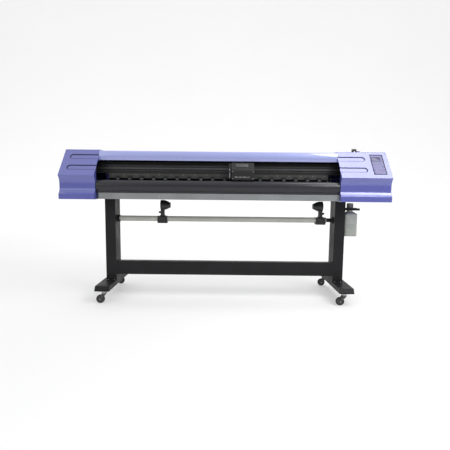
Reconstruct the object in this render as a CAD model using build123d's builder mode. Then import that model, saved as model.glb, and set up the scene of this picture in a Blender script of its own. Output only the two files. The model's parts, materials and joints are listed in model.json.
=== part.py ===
"""Wide-format roll printer and cutter on a castor stand.

Millimetres, +Z up. The origin is on the floor under the middle of the machine, +X runs along the machine
to the operator's right and the operator stands on the -Y side.
"""
import os

from build123d import *

os.makedirs("parts", exist_ok=True)

# ---------------------------------------------------------------- driving dimensions
# end covers: side outline, from the floor up
COVER_LEFT_END = -1350.0
COVER_RIGHT_END = 1350.0
COVER_LEFT_INNER = -1060.0
COVER_RIGHT_INNER = 937.0
COVER_BOTTOM = 854.0
COVER_TOP = 1268.0
COVER_BACK = 235.0
COVER_WALL = 3.0
BAND_FRONT = -290.5
BAND_TOP = 899.0
WAIST_FRONT = -266.0
WAIST_BOTTOM = 945.0
WAIST_TOP = 981.0
CREST_FRONT = -295.0
CREST_HEIGHT = 1046.0
SLOPE_TOP_FRONT = -111.0

# stand
LEG_CENTRE = 986.0
LEG_WIDTH = 88.0
LEG_FRONT = -120.0
LEG_BACK = 27.0
LEG_TOP = 905.0
LEG_WALL = 4.0
FOOT_CENTRE = 1002.0
FOOT_WIDTH = 120.0
FOOT_HALF_LENGTH = 345.0
FOOT_BOTTOM = 105.0
FOOT_TOP = 145.0
FOOT_WALL = 3.0
STRETCHER_BOTTOM = 198.0
STRETCHER_TOP = 316.0
STRETCHER_DEPTH = 60.0

# castors
CASTOR_X = 990.0
CASTOR_Y = 310.0
CASTOR_TRAIL = 33.0
WHEEL_RADIUS = 35.0
WHEEL_WIDTH = 22.0
AXLE_RADIUS = 4.0
RUNNING_GAP = 0.05

# body cross-section
MAIN_BEAM_Y = (-115.0, 25.0)
MAIN_BEAM_Z = (LEG_TOP, 970.0)
BEAM_HALF_LENGTH = 1290.0
GUIDE_BEAM_Y = (-80.0, -20.0)
GUIDE_BEAM_Z = (1072.0, 1148.0)
PLATEN_X = (-1000.0, 900.0)
PLATEN_Y = (-232.0, -125.0)
PLATEN_Z = (965.0, 1013.0)
RAIL_X = (-1040.0, 930.0)
RAIL_Y = (-250.0, -210.0)
RAIL_Z = (857.0, 908.0)
FASCIA_FRONT = -145.0
FASCIA_Z = (1179.0, 1258.0)
TOP_COVER_BACK = 152.0
TOP_COVER_THICKNESS = 2.5
TOP_COVER_X = (COVER_LEFT_INNER + 0.5, COVER_RIGHT_INNER - 0.5)

# media feed
FEED_AXIS = (-100.0, 997.0)
FEED_RADIUS = 16.0
FEED_JOURNAL = 8.0
PINCH_COUNT = 18
PINCH_FIRST_X = -919.0
PINCH_LAST_X = 802.0
PINCH_RADIUS = 9.0
PINCH_AXIS = (-100.0, 1022.3)
PINCH_PIVOT = (-55.0, 1050.0)
PIVOT_RADIUS = 4.0
LIFT_AXIS = (-5.0, 1045.0)
LIFT_RADIUS = 5.0

# carriage
CARRIAGE_X = (50.0, 236.0)
CARRIAGE_MIDDLE = (CARRIAGE_X[0] + CARRIAGE_X[1]) / 2
HEAD_COUNT = 4
HEAD_PITCH = 40.0
HEAD_FACE_Z = 1018.0
CUTTER_AXIS = (38.0, -135.0)
BELT_Y = -60.0
BELT_Z = (1154.0, 1166.0)
PULLEY_RADIUS = 20.0
DRIVE_PULLEY_X = -1240.0
IDLER_X = 1250.0

# roll support and waste bottle
BAR_AXIS = (-45.0, 682.0)
BAR_RADIUS = 24.0
BAR_X = (-935.0, 885.0)
CHUCK_HEIGHT = 801.0
HOLDER_X = {"left": -547.0, "right": 834.0}
BOTTLE_X = (1041.0, 1157.0)
BOTTLE_Y = (-75.0, 25.0)
BOTTLE_BASE = 544.0


# ---------------------------------------------------------------- small helpers
def block(x, y, z, mode=Mode.ADD):
    """A box between two X, two Y and two Z values."""
    with Locations(((x[0] + x[1]) / 2, (y[0] + y[1]) / 2, (z[0] + z[1]) / 2)):
        Box(x[1] - x[0], y[1] - y[0], z[1] - z[0], mode=mode)


def rod(middle, radius, length, along, mode=Mode.ADD):
    """A cylinder about its middle point, along the X, Y or Z axis."""
    turns = {"x": (0, 90, 0), "y": (90, 0, 0), "z": (0, 0, 0)}
    with Locations(middle):
        Cylinder(radius, length, rotation=turns[along], mode=mode)


def section(x, points):
    """A flat outline in the machine's side view, at one X, from (Y, Z) points."""
    with BuildSketch(Plane.YZ.offset(x)) as flat:
        with BuildLine():
            Polyline(*points, close=True)
        make_face()
    return flat.sketch


def slab(x, points, mode=Mode.ADD):
    """A straight-sided outline of (Y, Z) points, drawn out between two X values."""
    extrude(section(x[0], points), amount=x[1] - x[0], mode=mode)


def inset(pair, amount):
    """The same span, shorter by an amount at each end."""
    return (pair[0] + amount, pair[1] - amount)


def finish(part, name):
    """Label a finished piece and write it."""
    part.label = name
    export_step(part, f"parts/{name}.step")


# ---------------------------------------------------------------- stand
FOOT_LIP = 8.0
FOOT_BEVEL = 20.0
LEG_BOLT_X = 28.0
LEG_BOLT_Y = 55.0
BOLT_RADIUS = 4.0
BOLT_HOLE_RADIUS = 4.2
BOLT_HEAD_RADIUS = 7.0
BOLT_HEAD_HEIGHT = 5.0
LEG_FOOT_PLATE = 8.0
LEG_MIDDLE_Y = (LEG_FRONT + LEG_BACK) / 2
STRETCHER_BOLT_Z = (222.0, 292.0)
STRETCHER_BOLT_Y = LEG_FRONT + STRETCHER_DEPTH / 2


def make_feet():
    """Two long feet: bevelled box sections with a slot along the underside."""
    outline = [
        (-FOOT_HALF_LENGTH, FOOT_BOTTOM),
        (-FOOT_HALF_LENGTH, FOOT_BOTTOM + FOOT_LIP),
        (-FOOT_HALF_LENGTH + FOOT_BEVEL, FOOT_TOP),
        (FOOT_HALF_LENGTH - FOOT_BEVEL, FOOT_TOP),
        (FOOT_HALF_LENGTH, FOOT_BOTTOM + FOOT_LIP),
        (FOOT_HALF_LENGTH, FOOT_BOTTOM),
    ]
    base_thickness = 6.0
    slot_half_length = 260.0
    slot_half_width = 42.0
    with BuildPart() as feet:
        for side in (-1, 1):
            middle = side * FOOT_CENTRE
            width = (middle - FOOT_WIDTH / 2, middle + FOOT_WIDTH / 2)
            slab(width, outline)
            hollow = (-FOOT_HALF_LENGTH + FOOT_BEVEL + FOOT_WALL, FOOT_HALF_LENGTH - FOOT_BEVEL - FOOT_WALL)
            block(inset(width, FOOT_WALL), hollow, (FOOT_BOTTOM + base_thickness, FOOT_TOP - FOOT_WALL),
                  Mode.SUBTRACT)
            block((middle - slot_half_width, middle + slot_half_width), (-slot_half_length, slot_half_length),
                  (FOOT_BOTTOM, FOOT_BOTTOM + base_thickness), Mode.SUBTRACT)
            with Locations((side * LEG_CENTRE, LEG_MIDDLE_Y, FOOT_TOP - FOOT_WALL / 2)):
                with GridLocations(2 * LEG_BOLT_X, 2 * LEG_BOLT_Y, 2, 2):
                    Cylinder(BOLT_HOLE_RADIUS, FOOT_WALL, mode=Mode.SUBTRACT)
    finish(feet.part, "feet")


def make_legs():
    """Two upright box-section legs, with the roll bar's sockets on their inner faces."""
    plate_hole = 15.0
    socket_radius = 31.0
    socket_length = 22.0
    stub_radius = 17.0
    flange_length = 8.0
    with BuildPart() as legs:
        for side in (-1, 1):
            middle = side * LEG_CENTRE
            inner_face = side * (LEG_CENTRE - LEG_WIDTH / 2)
            width = (middle - LEG_WIDTH / 2, middle + LEG_WIDTH / 2)
            block(width, (LEG_FRONT, LEG_BACK), (FOOT_TOP, LEG_TOP))
            block(inset(width, LEG_WALL), inset((LEG_FRONT, LEG_BACK), LEG_WALL),
                  (FOOT_TOP + LEG_FOOT_PLATE, LEG_TOP - LEG_FOOT_PLATE), Mode.SUBTRACT)
            rod((middle, LEG_MIDDLE_Y, LEG_TOP - LEG_FOOT_PLATE / 2), plate_hole, LEG_FOOT_PLATE, "z",
                Mode.SUBTRACT)
            with Locations((middle, LEG_MIDDLE_Y, FOOT_TOP + LEG_FOOT_PLATE / 2)):
                with GridLocations(2 * LEG_BOLT_X, 2 * LEG_BOLT_Y, 2, 2):
                    Cylinder(BOLT_HOLE_RADIUS, LEG_FOOT_PLATE, mode=Mode.SUBTRACT)
            for height in STRETCHER_BOLT_Z:
                outer_face = side * (LEG_CENTRE + LEG_WIDTH / 2)
                rod((outer_face - side * LEG_WALL / 2, STRETCHER_BOLT_Y, height), BOLT_HOLE_RADIUS, LEG_WALL,
                    "x", Mode.SUBTRACT)
            socket = socket_length if side < 0 else flange_length
            rod((inner_face - side * socket / 2, *BAR_AXIS), socket_radius, socket, "x")
        stub = (BAR_X[1], LEG_CENTRE - LEG_WIDTH / 2)
        rod(((stub[0] + stub[1]) / 2, *BAR_AXIS), stub_radius, stub[1] - stub[0], "x")
        seat = (BAR_X[0], -LEG_CENTRE + LEG_WIDTH / 2 + socket_length)
        rod(((seat[0] + seat[1]) / 2, *BAR_AXIS), BAR_RADIUS, seat[1] - seat[0], "x", Mode.SUBTRACT)
    finish(legs.part, "legs")


def make_stretcher():
    """The low cross beam between the legs."""
    span = (-LEG_CENTRE + LEG_WIDTH / 2, LEG_CENTRE - LEG_WIDTH / 2)
    depth = (LEG_FRONT, LEG_FRONT + STRETCHER_DEPTH)
    height = (STRETCHER_BOTTOM, STRETCHER_TOP)
    corner_radius = 4.0
    with BuildPart() as stretcher:
        block(span, depth, height)
        fillet(stretcher.edges().filter_by(Axis.X), corner_radius)
        block(span, inset(depth, FOOT_WALL), inset(height, FOOT_WALL), Mode.SUBTRACT)
    finish(stretcher.part, "stretcher_beam")


def make_stand_bolts():
    """The bolts through the feet into the legs, and those through the legs' outer faces."""
    shank = FOOT_WALL + LEG_FOOT_PLATE
    with BuildPart() as bolts:
        for side in (-1, 1):
            with Locations((side * LEG_CENTRE, LEG_MIDDLE_Y, FOOT_TOP - FOOT_WALL)):
                with GridLocations(2 * LEG_BOLT_X, 2 * LEG_BOLT_Y, 2, 2):
                    Cylinder(BOLT_HEAD_RADIUS, BOLT_HEAD_HEIGHT, align=(Align.CENTER, Align.CENTER, Align.MAX))
                    Cylinder(BOLT_RADIUS, shank, align=(Align.CENTER, Align.CENTER, Align.MIN))
            for height in STRETCHER_BOLT_Z:
                face = side * (LEG_CENTRE + LEG_WIDTH / 2)
                rod((face + side * BOLT_HEAD_HEIGHT / 2, STRETCHER_BOLT_Y, height), BOLT_HEAD_RADIUS,
                    BOLT_HEAD_HEIGHT, "x")
                rod((face - side * shank / 2, STRETCHER_BOLT_Y, height), BOLT_RADIUS, shank, "x")
    finish(bolts.part, "stand_bolts")


# ---------------------------------------------------------------- castors
CASTOR_PLATE = (70.0, 62.0, 3.0)
CUP_RADIUS = 20.0
CUP_BOTTOM = 90.5
STEM_RADIUS = 6.0
STEM_TOP = 101.5
CROWN_Z = (84.0, 90.0)
CROWN_RADIUS = 19.0
CHEEK_GAP = 13.0
CHEEK_THICKNESS = 2.5
TYRE_INNER = 25.0
CORNERS = {
    "front_left": (-CASTOR_X, -CASTOR_Y),
    "front_right": (CASTOR_X, -CASTOR_Y),
    "rear_left": (-CASTOR_X, CASTOR_Y),
    "rear_right": (CASTOR_X, CASTOR_Y),
}


def make_castor_plates():
    """The four bolted plates, each with the cup that its fork's stem turns in."""
    length, width, thickness = CASTOR_PLATE
    with BuildPart() as plates:
        for x, y in CORNERS.values():
            with Locations((x, y, FOOT_BOTTOM)):
                Box(length, width, thickness, align=(Align.CENTER, Align.CENTER, Align.MAX))
            cup = (CUP_BOTTOM, FOOT_BOTTOM - thickness)
            rod((x, y, (cup[0] + cup[1]) / 2), CUP_RADIUS, cup[1] - cup[0], "z")
            rod((x, y, (cup[0] + cup[1]) / 2), STEM_RADIUS + RUNNING_GAP, cup[1] - cup[0], "z", Mode.SUBTRACT)
    finish(plates.part, "castor_plates")


def make_castor_fork(corner, x, y):
    """A swivel fork: stem, crown, two cheeks and the wheel's axle, which is riveted in."""
    axle_x = x - CASTOR_TRAIL
    foot_radius = 8.0
    shoulder_radius = 6.0
    shoulder_x = CROWN_RADIUS - shoulder_radius - 1.0
    rivet_radius = 6.5
    rivet_height = 2.0
    cheek_outer = CHEEK_GAP + CHEEK_THICKNESS
    with BuildPart() as fork:
        rod((x, y, (CROWN_Z[0] + CROWN_Z[1]) / 2), CROWN_RADIUS, CROWN_Z[1] - CROWN_Z[0], "z")
        rod((x, y, (CROWN_Z[1] + STEM_TOP) / 2), STEM_RADIUS, STEM_TOP - CROWN_Z[1], "z")
        for side in (-1, 1):
            face = y + side * (CHEEK_GAP if side > 0 else cheek_outer)
            with BuildSketch(Plane.XZ.offset(-face)):
                with Locations((axle_x, WHEEL_RADIUS)):
                    Circle(foot_radius)
                for end in (-1, 1):
                    with Locations((x + end * shoulder_x, CROWN_Z[1] - shoulder_radius)):
                        Circle(shoulder_radius)
                make_hull()
            extrude(amount=-CHEEK_THICKNESS)
        axle = 2 * (cheek_outer + rivet_height)
        rod((axle_x, y, WHEEL_RADIUS), AXLE_RADIUS, axle, "y")
        for side in (-1, 1):
            rivet_middle = (axle_x, y + side * (cheek_outer + rivet_height / 2), WHEEL_RADIUS)
            rod(rivet_middle, rivet_radius, rivet_height, "y")
    finish(fork.part, f"castor_fork_{corner}")


def make_castor_wheel(corner, x, y):
    """A wheel: a crowned tyre round a dished hub, as two solids."""
    axle = (x - CASTOR_TRAIL, y, WHEEL_RADIUS)
    shoulder = 3.0
    hub_width = WHEEL_WIDTH + 2.0
    web_radius = 20.0
    boss_radius = 9.0
    dish = 4.0
    with BuildPart() as tyre:
        rod(axle, WHEEL_RADIUS, WHEEL_WIDTH, "y")
        fillet(tyre.edges().filter_by(GeomType.CIRCLE), shoulder)
        rod(axle, TYRE_INNER, WHEEL_WIDTH, "y", Mode.SUBTRACT)
    with BuildPart() as hub:
        rod(axle, TYRE_INNER, WHEEL_WIDTH, "y")
        for side in (-1, 1):
            face = (axle[0], y + side * (WHEEL_WIDTH - dish) / 2, WHEEL_RADIUS)
            rod(face, web_radius, dish, "y", Mode.SUBTRACT)
        rod(axle, boss_radius, hub_width, "y")
        rod(axle, AXLE_RADIUS + RUNNING_GAP, hub_width, "y", Mode.SUBTRACT)
    wheel = Compound(children=[*tyre.part.solids(), *hub.part.solids()])
    finish(wheel, f"castor_wheel_{corner}")


# ---------------------------------------------------------------- end covers
SLOT_DEPTH = 5.0
SLOT_WIDTH = 52.0
SLOT_CENTRES = (-81.0, -200.0)
SLOT_LENGTH = {"left": 238.0, "right": 225.0}
PANEL_X = (1205.0, 1313.0)
PANEL_Y = (-248.0, -27.0)
PANEL_RECESS = 4.0
LEVER_SLOT_X = (1158.0, 1182.0)
LEVER_SLOT_Y = (8.0, 147.0)
SWITCH_X = (1244.0, 1258.0)
SWITCH_Z = (938.0, 960.0)
INLET_X = (1180.0, 1228.0)
INLET_Z = (902.0, 930.0)
SLOPE = Plane(
    origin=(0, SLOPE_TOP_FRONT, COVER_TOP),
    x_dir=(1, 0, 0),
    z_dir=(0, CREST_HEIGHT - COVER_TOP, SLOPE_TOP_FRONT - CREST_FRONT),
)
# the way through each cover's inner wall, shaped round the carriage, the beams and the feed
WINDOW = [
    (-236.0, 1012.0), (-236.0, 1104.0), (-180.0, 1176.0), (-135.0, 1176.0), (-135.0, 1250.0),
    (35.0, 1250.0), (35.0, 897.0), (-123.0, 897.0), (-123.0, 1012.0),
]


def cover_outline():
    """An end cover's side outline: vertical band, flare, waist, overhanging nose, long slope and flat top."""
    top_radius = 12.0
    back_radius = 25.0
    nose_radius = 7.0
    band_radius = 5.0
    with BuildSketch(Plane.XY) as outline:
        with BuildLine():
            Line((BAND_FRONT, COVER_BOTTOM), (BAND_FRONT, BAND_TOP))
            TangentArc((WAIST_FRONT, WAIST_BOTTOM), (BAND_FRONT, BAND_TOP), tangent=(0, -1))
            Line((WAIST_FRONT, WAIST_BOTTOM), (WAIST_FRONT, WAIST_TOP))
            TangentArc((WAIST_FRONT, WAIST_TOP), (CREST_FRONT, CREST_HEIGHT), tangent=(0, 1))
            Polyline((CREST_FRONT, CREST_HEIGHT), (SLOPE_TOP_FRONT, COVER_TOP), (COVER_BACK, COVER_TOP),
                     (COVER_BACK, COVER_BOTTOM), (BAND_FRONT, COVER_BOTTOM))
        make_face()
        for corner, radius in (
            ((SLOPE_TOP_FRONT, COVER_TOP), top_radius),
            ((COVER_BACK, COVER_TOP), back_radius),
            ((CREST_FRONT, CREST_HEIGHT), nose_radius),
            ((BAND_FRONT, BAND_TOP), band_radius),
        ):
            fillet(outline.vertices().sort_by_distance((*corner, 0))[0], radius)
    return outline.sketch


def slope_slots(side, depth, mode):
    """The two long slots pressed into the slope, open at the cover's inner edge."""
    inner = COVER_LEFT_INNER if side == "left" else COVER_RIGHT_INNER
    away = -1 if side == "left" else 1
    radius = SLOT_WIDTH / 2 + (depth - SLOT_DEPTH)
    straight = SLOT_LENGTH[side] - SLOT_WIDTH / 2
    with BuildSketch(SLOPE) as slots:
        for centre in SLOT_CENTRES:
            with Locations((inner + away * straight / 2, centre)):
                Rectangle(straight, 2 * radius)
            with Locations((inner + away * straight, centre)):
                Circle(radius)
    extrude(slots.sketch, amount=-depth, mode=mode)


def make_end_cover(side):
    """A hollow end cover, with a window through its inner wall and a notch round the leg."""
    inner = COVER_LEFT_INNER if side == "left" else COVER_RIGHT_INNER
    outer = COVER_LEFT_END if side == "left" else COVER_RIGHT_END
    span = (min(inner, outer), max(inner, outer))
    outline = cover_outline()
    with BuildPart() as cover:
        with BuildSketch(Plane.YZ.offset(span[0])):
            add(outline)
        extrude(amount=span[1] - span[0])
        with BuildSketch(Plane.YZ.offset(span[0] + COVER_WALL)):
            add(outline)
            offset(amount=-COVER_WALL)
        extrude(amount=span[1] - span[0] - 2 * COVER_WALL, mode=Mode.SUBTRACT)
        slope_slots(side, SLOT_DEPTH + COVER_WALL, Mode.ADD)
        slope_slots(side, SLOT_DEPTH, Mode.SUBTRACT)
        wall = (inner - COVER_WALL, inner + COVER_WALL)
        slab(wall, WINDOW, Mode.SUBTRACT)
        if side == "right":
            add_right_cover_features()
    finish(cover.part, f"{side}_end_cover")


def add_right_cover_features():
    """The right cover's panel recess, lever slot, leg notch and rear cut-outs."""
    panel_middle = ((PANEL_X[0] + PANEL_X[1]) / 2, (PANEL_Y[0] + PANEL_Y[1]) / 2)
    panel_size = (PANEL_X[1] - PANEL_X[0], PANEL_Y[1] - PANEL_Y[0])
    leg_clearance = 6.0
    for grow, depth, mode in ((2 * COVER_WALL, PANEL_RECESS + COVER_WALL, Mode.ADD),
                              (0.0, PANEL_RECESS, Mode.SUBTRACT)):
        with BuildSketch(SLOPE) as recess:
            with Locations(panel_middle):
                Rectangle(panel_size[0] + grow, panel_size[1] + grow)
        extrude(recess.sketch, amount=-depth, mode=mode)
    block(LEVER_SLOT_X, LEVER_SLOT_Y, (COVER_TOP - 2 * COVER_WALL, COVER_TOP + COVER_WALL), Mode.SUBTRACT)
    notch_x = (COVER_RIGHT_INNER - COVER_WALL, LEG_CENTRE + LEG_WIDTH / 2 + leg_clearance)
    notch_y = (LEG_FRONT - leg_clearance, LEG_BACK + leg_clearance)
    block(notch_x, notch_y, (COVER_BOTTOM - COVER_WALL, LEG_TOP + COVER_WALL), Mode.SUBTRACT)
    back = (COVER_BACK - 2 * COVER_WALL, COVER_BACK + COVER_WALL)
    block(SWITCH_X, back, SWITCH_Z, Mode.SUBTRACT)
    block(INLET_X, back, INLET_Z, Mode.SUBTRACT)


def make_end_frames():
    """The two steel plates that the beams end on, inside the covers."""
    front = -215.0
    shoulder = 1090.0
    top_front = -90.0
    thickness = 5.0
    low = COVER_BOTTOM + COVER_WALL
    high = COVER_TOP - COVER_WALL
    back = COVER_BACK - COVER_WALL
    rear_corner = 30.0
    outline = [(front, low), (front, shoulder), (top_front, high - rear_corner), (top_front, high),
               (back - rear_corner, high), (back, high - rear_corner), (back, low)]
    with BuildPart() as frames:
        slab((-BEAM_HALF_LENGTH - thickness, -BEAM_HALF_LENGTH), outline)
        slab((BEAM_HALF_LENGTH, BEAM_HALF_LENGTH + thickness), outline)
    finish(frames.part, "end_frames")


# ---------------------------------------------------------------- body
BEAM_WALL = 4.0
BEARING_WIDTH = 15.0
BEARING_LEFT = -985.0
BEARING_RIGHT = 860.0
BEARING_TOP = 1011.0
LIFT_BEARINGS = ((-1018.0, -1006.0), (905.0, 917.0))


def make_main_beam():
    """The box beam on top of the legs, with the bearing blocks of the feed roller and of the lift shaft."""
    span = (-BEAM_HALF_LENGTH, BEAM_HALF_LENGTH)
    block_back = -80.0
    post_half_width = 13.0
    with BuildPart() as beam:
        block(span, MAIN_BEAM_Y, MAIN_BEAM_Z)
        block(span, inset(MAIN_BEAM_Y, BEAM_WALL), inset(MAIN_BEAM_Z, BEAM_WALL), Mode.SUBTRACT)
        for x in (BEARING_LEFT, BEARING_RIGHT):
            width = (x, x + BEARING_WIDTH)
            block(width, (MAIN_BEAM_Y[0], block_back), (MAIN_BEAM_Z[1], BEARING_TOP))
            rod((x + BEARING_WIDTH / 2, *FEED_AXIS), FEED_JOURNAL + RUNNING_GAP, BEARING_WIDTH, "x",
                Mode.SUBTRACT)
        for post in LIFT_BEARINGS:
            middle = (sum(post) / 2, *LIFT_AXIS)
            block(post, (LIFT_AXIS[0] - post_half_width, LIFT_AXIS[0] + post_half_width),
                  (MAIN_BEAM_Z[1], LIFT_AXIS[1]))
            rod(middle, post_half_width, post[1] - post[0], "x")
            rod(middle, LIFT_RADIUS + RUNNING_GAP, post[1] - post[0], "x", Mode.SUBTRACT)
    finish(beam.part, "main_beam")


def make_guide_beam():
    """The carriage's beam: two lips beside the rail, a cable tray on posts and the idler's pin."""
    span = (-BEAM_HALF_LENGTH, BEAM_HALF_LENGTH)
    lip_depth = 4.0
    lips = ((1132.0, 1138.0), (1093.0, 1099.0))
    post_x = (-1000.0, -500.0, 0.0, 500.0, 900.0)
    post_width = 30.0
    post_y = (-26.0, GUIDE_BEAM_Y[1])
    tray_x = (-1050.0, 925.0)
    tray_y = (-96.0, GUIDE_BEAM_Y[1])
    tray_z = (1183.0, 1185.0)
    pin_top = 1172.0
    with BuildPart() as beam:
        block(span, GUIDE_BEAM_Y, GUIDE_BEAM_Z)
        for lip in lips:
            block(span, (GUIDE_BEAM_Y[0] - lip_depth, GUIDE_BEAM_Y[0]), lip)
        block(span, inset(GUIDE_BEAM_Y, BEAM_WALL), inset(GUIDE_BEAM_Z, BEAM_WALL), Mode.SUBTRACT)
        for x in post_x:
            block((x - post_width / 2, x + post_width / 2), post_y, (GUIDE_BEAM_Z[1], tray_z[0]))
        block(tray_x, tray_y, tray_z)
        rod((IDLER_X, BELT_Y, (GUIDE_BEAM_Z[1] + pin_top) / 2), PIVOT_RADIUS, pin_top - GUIDE_BEAM_Z[1], "z")
    finish(beam.part, "guide_beam")


def make_linear_rail():
    """The ground steel rail that the carriage's blocks run on."""
    rail_x = (-1250.0, 1260.0)
    rail_y = (-90.0, GUIDE_BEAM_Y[0])
    rail_z = (1109.0, 1123.0)
    groove = 2.0
    with BuildPart() as rail:
        block(rail_x, rail_y, rail_z)
        for z in rail_z:
            block(rail_x, (rail_y[1] - 2 * groove, rail_y[1] - groove), (z - groove, z + groove), Mode.SUBTRACT)
    finish(rail.part, "linear_rail")


def make_platen():
    """The flat bed under the print heads: a ribbed box with a row of suction holes and a cutting groove."""
    wall = 3.0
    rib_y = (-196.0, -160.0)
    hole_pitch = 50.0
    hole_count = 37
    hole_radius = 2.0
    hole_y = (-215.0, -178.0)
    groove_y = (-150.0, -144.0)
    groove_depth = 1.0
    with BuildPart() as platen:
        block(PLATEN_X, PLATEN_Y, PLATEN_Z)
        edges = [PLATEN_Y[0], *rib_y, PLATEN_Y[1]]
        for front, back in zip(edges[:-1], edges[1:]):
            block(PLATEN_X, inset((front, back), wall), inset(PLATEN_Z, wall), Mode.SUBTRACT)
        block(PLATEN_X, groove_y, (PLATEN_Z[1] - groove_depth, PLATEN_Z[1]), Mode.SUBTRACT)
        for y in hole_y:
            with Locations(((PLATEN_X[0] + PLATEN_X[1]) / 2, y, PLATEN_Z[1] - wall / 2)):
                with GridLocations(hole_pitch, hole_pitch, hole_count, 1):
                    Cylinder(hole_radius, wall, mode=Mode.SUBTRACT)
    finish(platen.part, "platen")


def make_front_apron():
    """The curved sheet that the print slides down, from the bed's front edge round under itself."""
    apron_x = (-1056.0, 933.0)
    thickness = 2.5
    bed_gap = 3.2
    top = (PLATEN_Y[0] - bed_gap, PLATEN_Z[1])
    bulge = (-266.0, 965.0)
    under = (-246.0, 922.0)
    lip_end = (-243.0, 908.2)
    with BuildPart() as apron:
        with BuildSketch(Plane.YZ.offset(apron_x[0])):
            with BuildLine():
                TangentArc(bulge, top, tangent=(0, 1))
                TangentArc(bulge, under, tangent=(0, -1))
                Line(under, lip_end)
                offset(amount=thickness, side=Side.RIGHT)
            make_face()
        extrude(amount=apron_x[1] - apron_x[0])
    return apron


def make_front_rail():
    """The grey box rail under the apron, with the ribs that tie it to the main beam and carry the bed."""
    wall = 3.0
    rib_x = (-920.0, -470.0, -20.0, 430.0, 890.0)
    rib_width = 6.0
    rib = [(RAIL_Y[1], 860.0), (RAIL_Y[1], 905.0), (-200.0, PLATEN_Z[0]), (MAIN_BEAM_Y[0], PLATEN_Z[0]),
           (MAIN_BEAM_Y[0], 908.0), (-170.0, 860.0)]
    with BuildPart() as rail:
        block(RAIL_X, RAIL_Y, RAIL_Z)
        block(RAIL_X, inset(RAIL_Y, wall), inset(RAIL_Z, wall), Mode.SUBTRACT)
        for x in rib_x:
            slab((x, x + rib_width), rib)
    finish(rail.part, "front_rail")


def make_rear_guide():
    """The sheet that leads the media up from behind and forward to the feed roller."""
    thickness = 2.0
    front = (-79.0, 1012.0)
    bend_start = (60.0, 1012.0)
    bend_end = (120.0, 952.0)
    tail = (120.0, 900.0)
    rib_x = (-950.0, -480.0, -10.0, 460.0, 830.0)
    rib_width = 4.0
    rib_y = (-70.0, 20.0)
    with BuildPart() as guide:
        with BuildSketch(Plane.YZ.offset(PLATEN_X[0])):
            with BuildLine():
                Line(front, bend_start)
                TangentArc(bend_start, bend_end, tangent=(1, 0))
                Line(bend_end, tail)
                offset(amount=thickness, side=Side.RIGHT)
            make_face()
        extrude(amount=PLATEN_X[1] - PLATEN_X[0])
        for x in rib_x:
            block((x, x + rib_width), rib_y, (MAIN_BEAM_Z[1], front[1] - thickness))
    return guide


def make_top_cover():
    """The long cover over the carriage: bowed front fascia, flat top and short rear flange."""
    lip_end = (-118.0, FASCIA_Z[0])
    bottom = (FASCIA_FRONT, FASCIA_Z[0])
    middle = (FASCIA_FRONT - 5.0, (FASCIA_Z[0] + FASCIA_Z[1]) / 2 - 6.0)
    shoulder = (FASCIA_FRONT + 3.0, FASCIA_Z[1] - 8.0)
    top_front = (FASCIA_FRONT + 13.0, FASCIA_Z[1])
    top_back = (TOP_COVER_BACK, FASCIA_Z[1])
    flange = (TOP_COVER_BACK, 1238.0)
    with BuildPart() as cover:
        with BuildSketch(Plane.YZ.offset(TOP_COVER_X[0])):
            with BuildLine():
                Line(lip_end, bottom)
                ThreePointArc(bottom, middle, shoulder)
                Polyline(shoulder, top_front, top_back, flange)
                offset(amount=TOP_COVER_THICKNESS, side=Side.RIGHT)
            make_face()
        extrude(amount=TOP_COVER_X[1] - TOP_COVER_X[0])
    return cover


def make_rear_cover():
    """The sheet behind the carriage, down past the guide; the media comes up between the two."""
    thickness = 2.0
    face = TOP_COVER_BACK - TOP_COVER_THICKNESS
    top = 1254.0
    bend = (face, 1004.0)
    lip_end = (face + 14.0, 984.0)
    with BuildPart() as cover:
        with BuildSketch(Plane.YZ.offset(TOP_COVER_X[0])):
            with BuildLine():
                Polyline((face, top), bend, lip_end)
                offset(amount=thickness, side=Side.RIGHT)
            make_face()
        extrude(amount=TOP_COVER_X[1] - TOP_COVER_X[0])
    return cover


# ---------------------------------------------------------------- media feed
def pinch_positions():
    """The X of each pinch roller, evenly spaced across the bed."""
    step = (PINCH_LAST_X - PINCH_FIRST_X) / (PINCH_COUNT - 1)
    return [PINCH_FIRST_X + step * number for number in range(PINCH_COUNT)]


def make_feed_roller():
    """The long gritted roller and its two journals."""
    body = (-960.0, 850.0)
    journal = (-1035.0, 880.0)
    edge_chamfer = 1.0
    with BuildPart() as roller:
        rod(((body[0] + body[1]) / 2, *FEED_AXIS), FEED_RADIUS, body[1] - body[0], "x")
        chamfer(roller.edges().filter_by(GeomType.CIRCLE), edge_chamfer)
        rod(((journal[0] + journal[1]) / 2, *FEED_AXIS), FEED_JOURNAL, journal[1] - journal[0], "x")
    finish(roller.part, "feed_roller")


def make_feed_motor():
    """The geared motor on the feed roller's left journal, and its saddle on the beam."""
    body_x = (-1110.0, -1026.0)
    body_y = (-120.0, -80.0)
    body_z = (977.0, 1011.5)
    saddle_x = (-1100.0, -1036.0)
    saddle_top = 978.0
    socket = 12.0
    corner_radius = 4.0
    with BuildPart() as motor:
        block(body_x, body_y, body_z)
        fillet(motor.edges().filter_by(Axis.X), corner_radius)
        block(saddle_x, (MAIN_BEAM_Y[0], body_y[1]), (MAIN_BEAM_Z[1], saddle_top))
        rod((body_x[1] - socket / 2, *FEED_AXIS), FEED_JOURNAL + RUNNING_GAP, socket, "x", Mode.SUBTRACT)
    finish(motor.part, "feed_motor")


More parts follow.
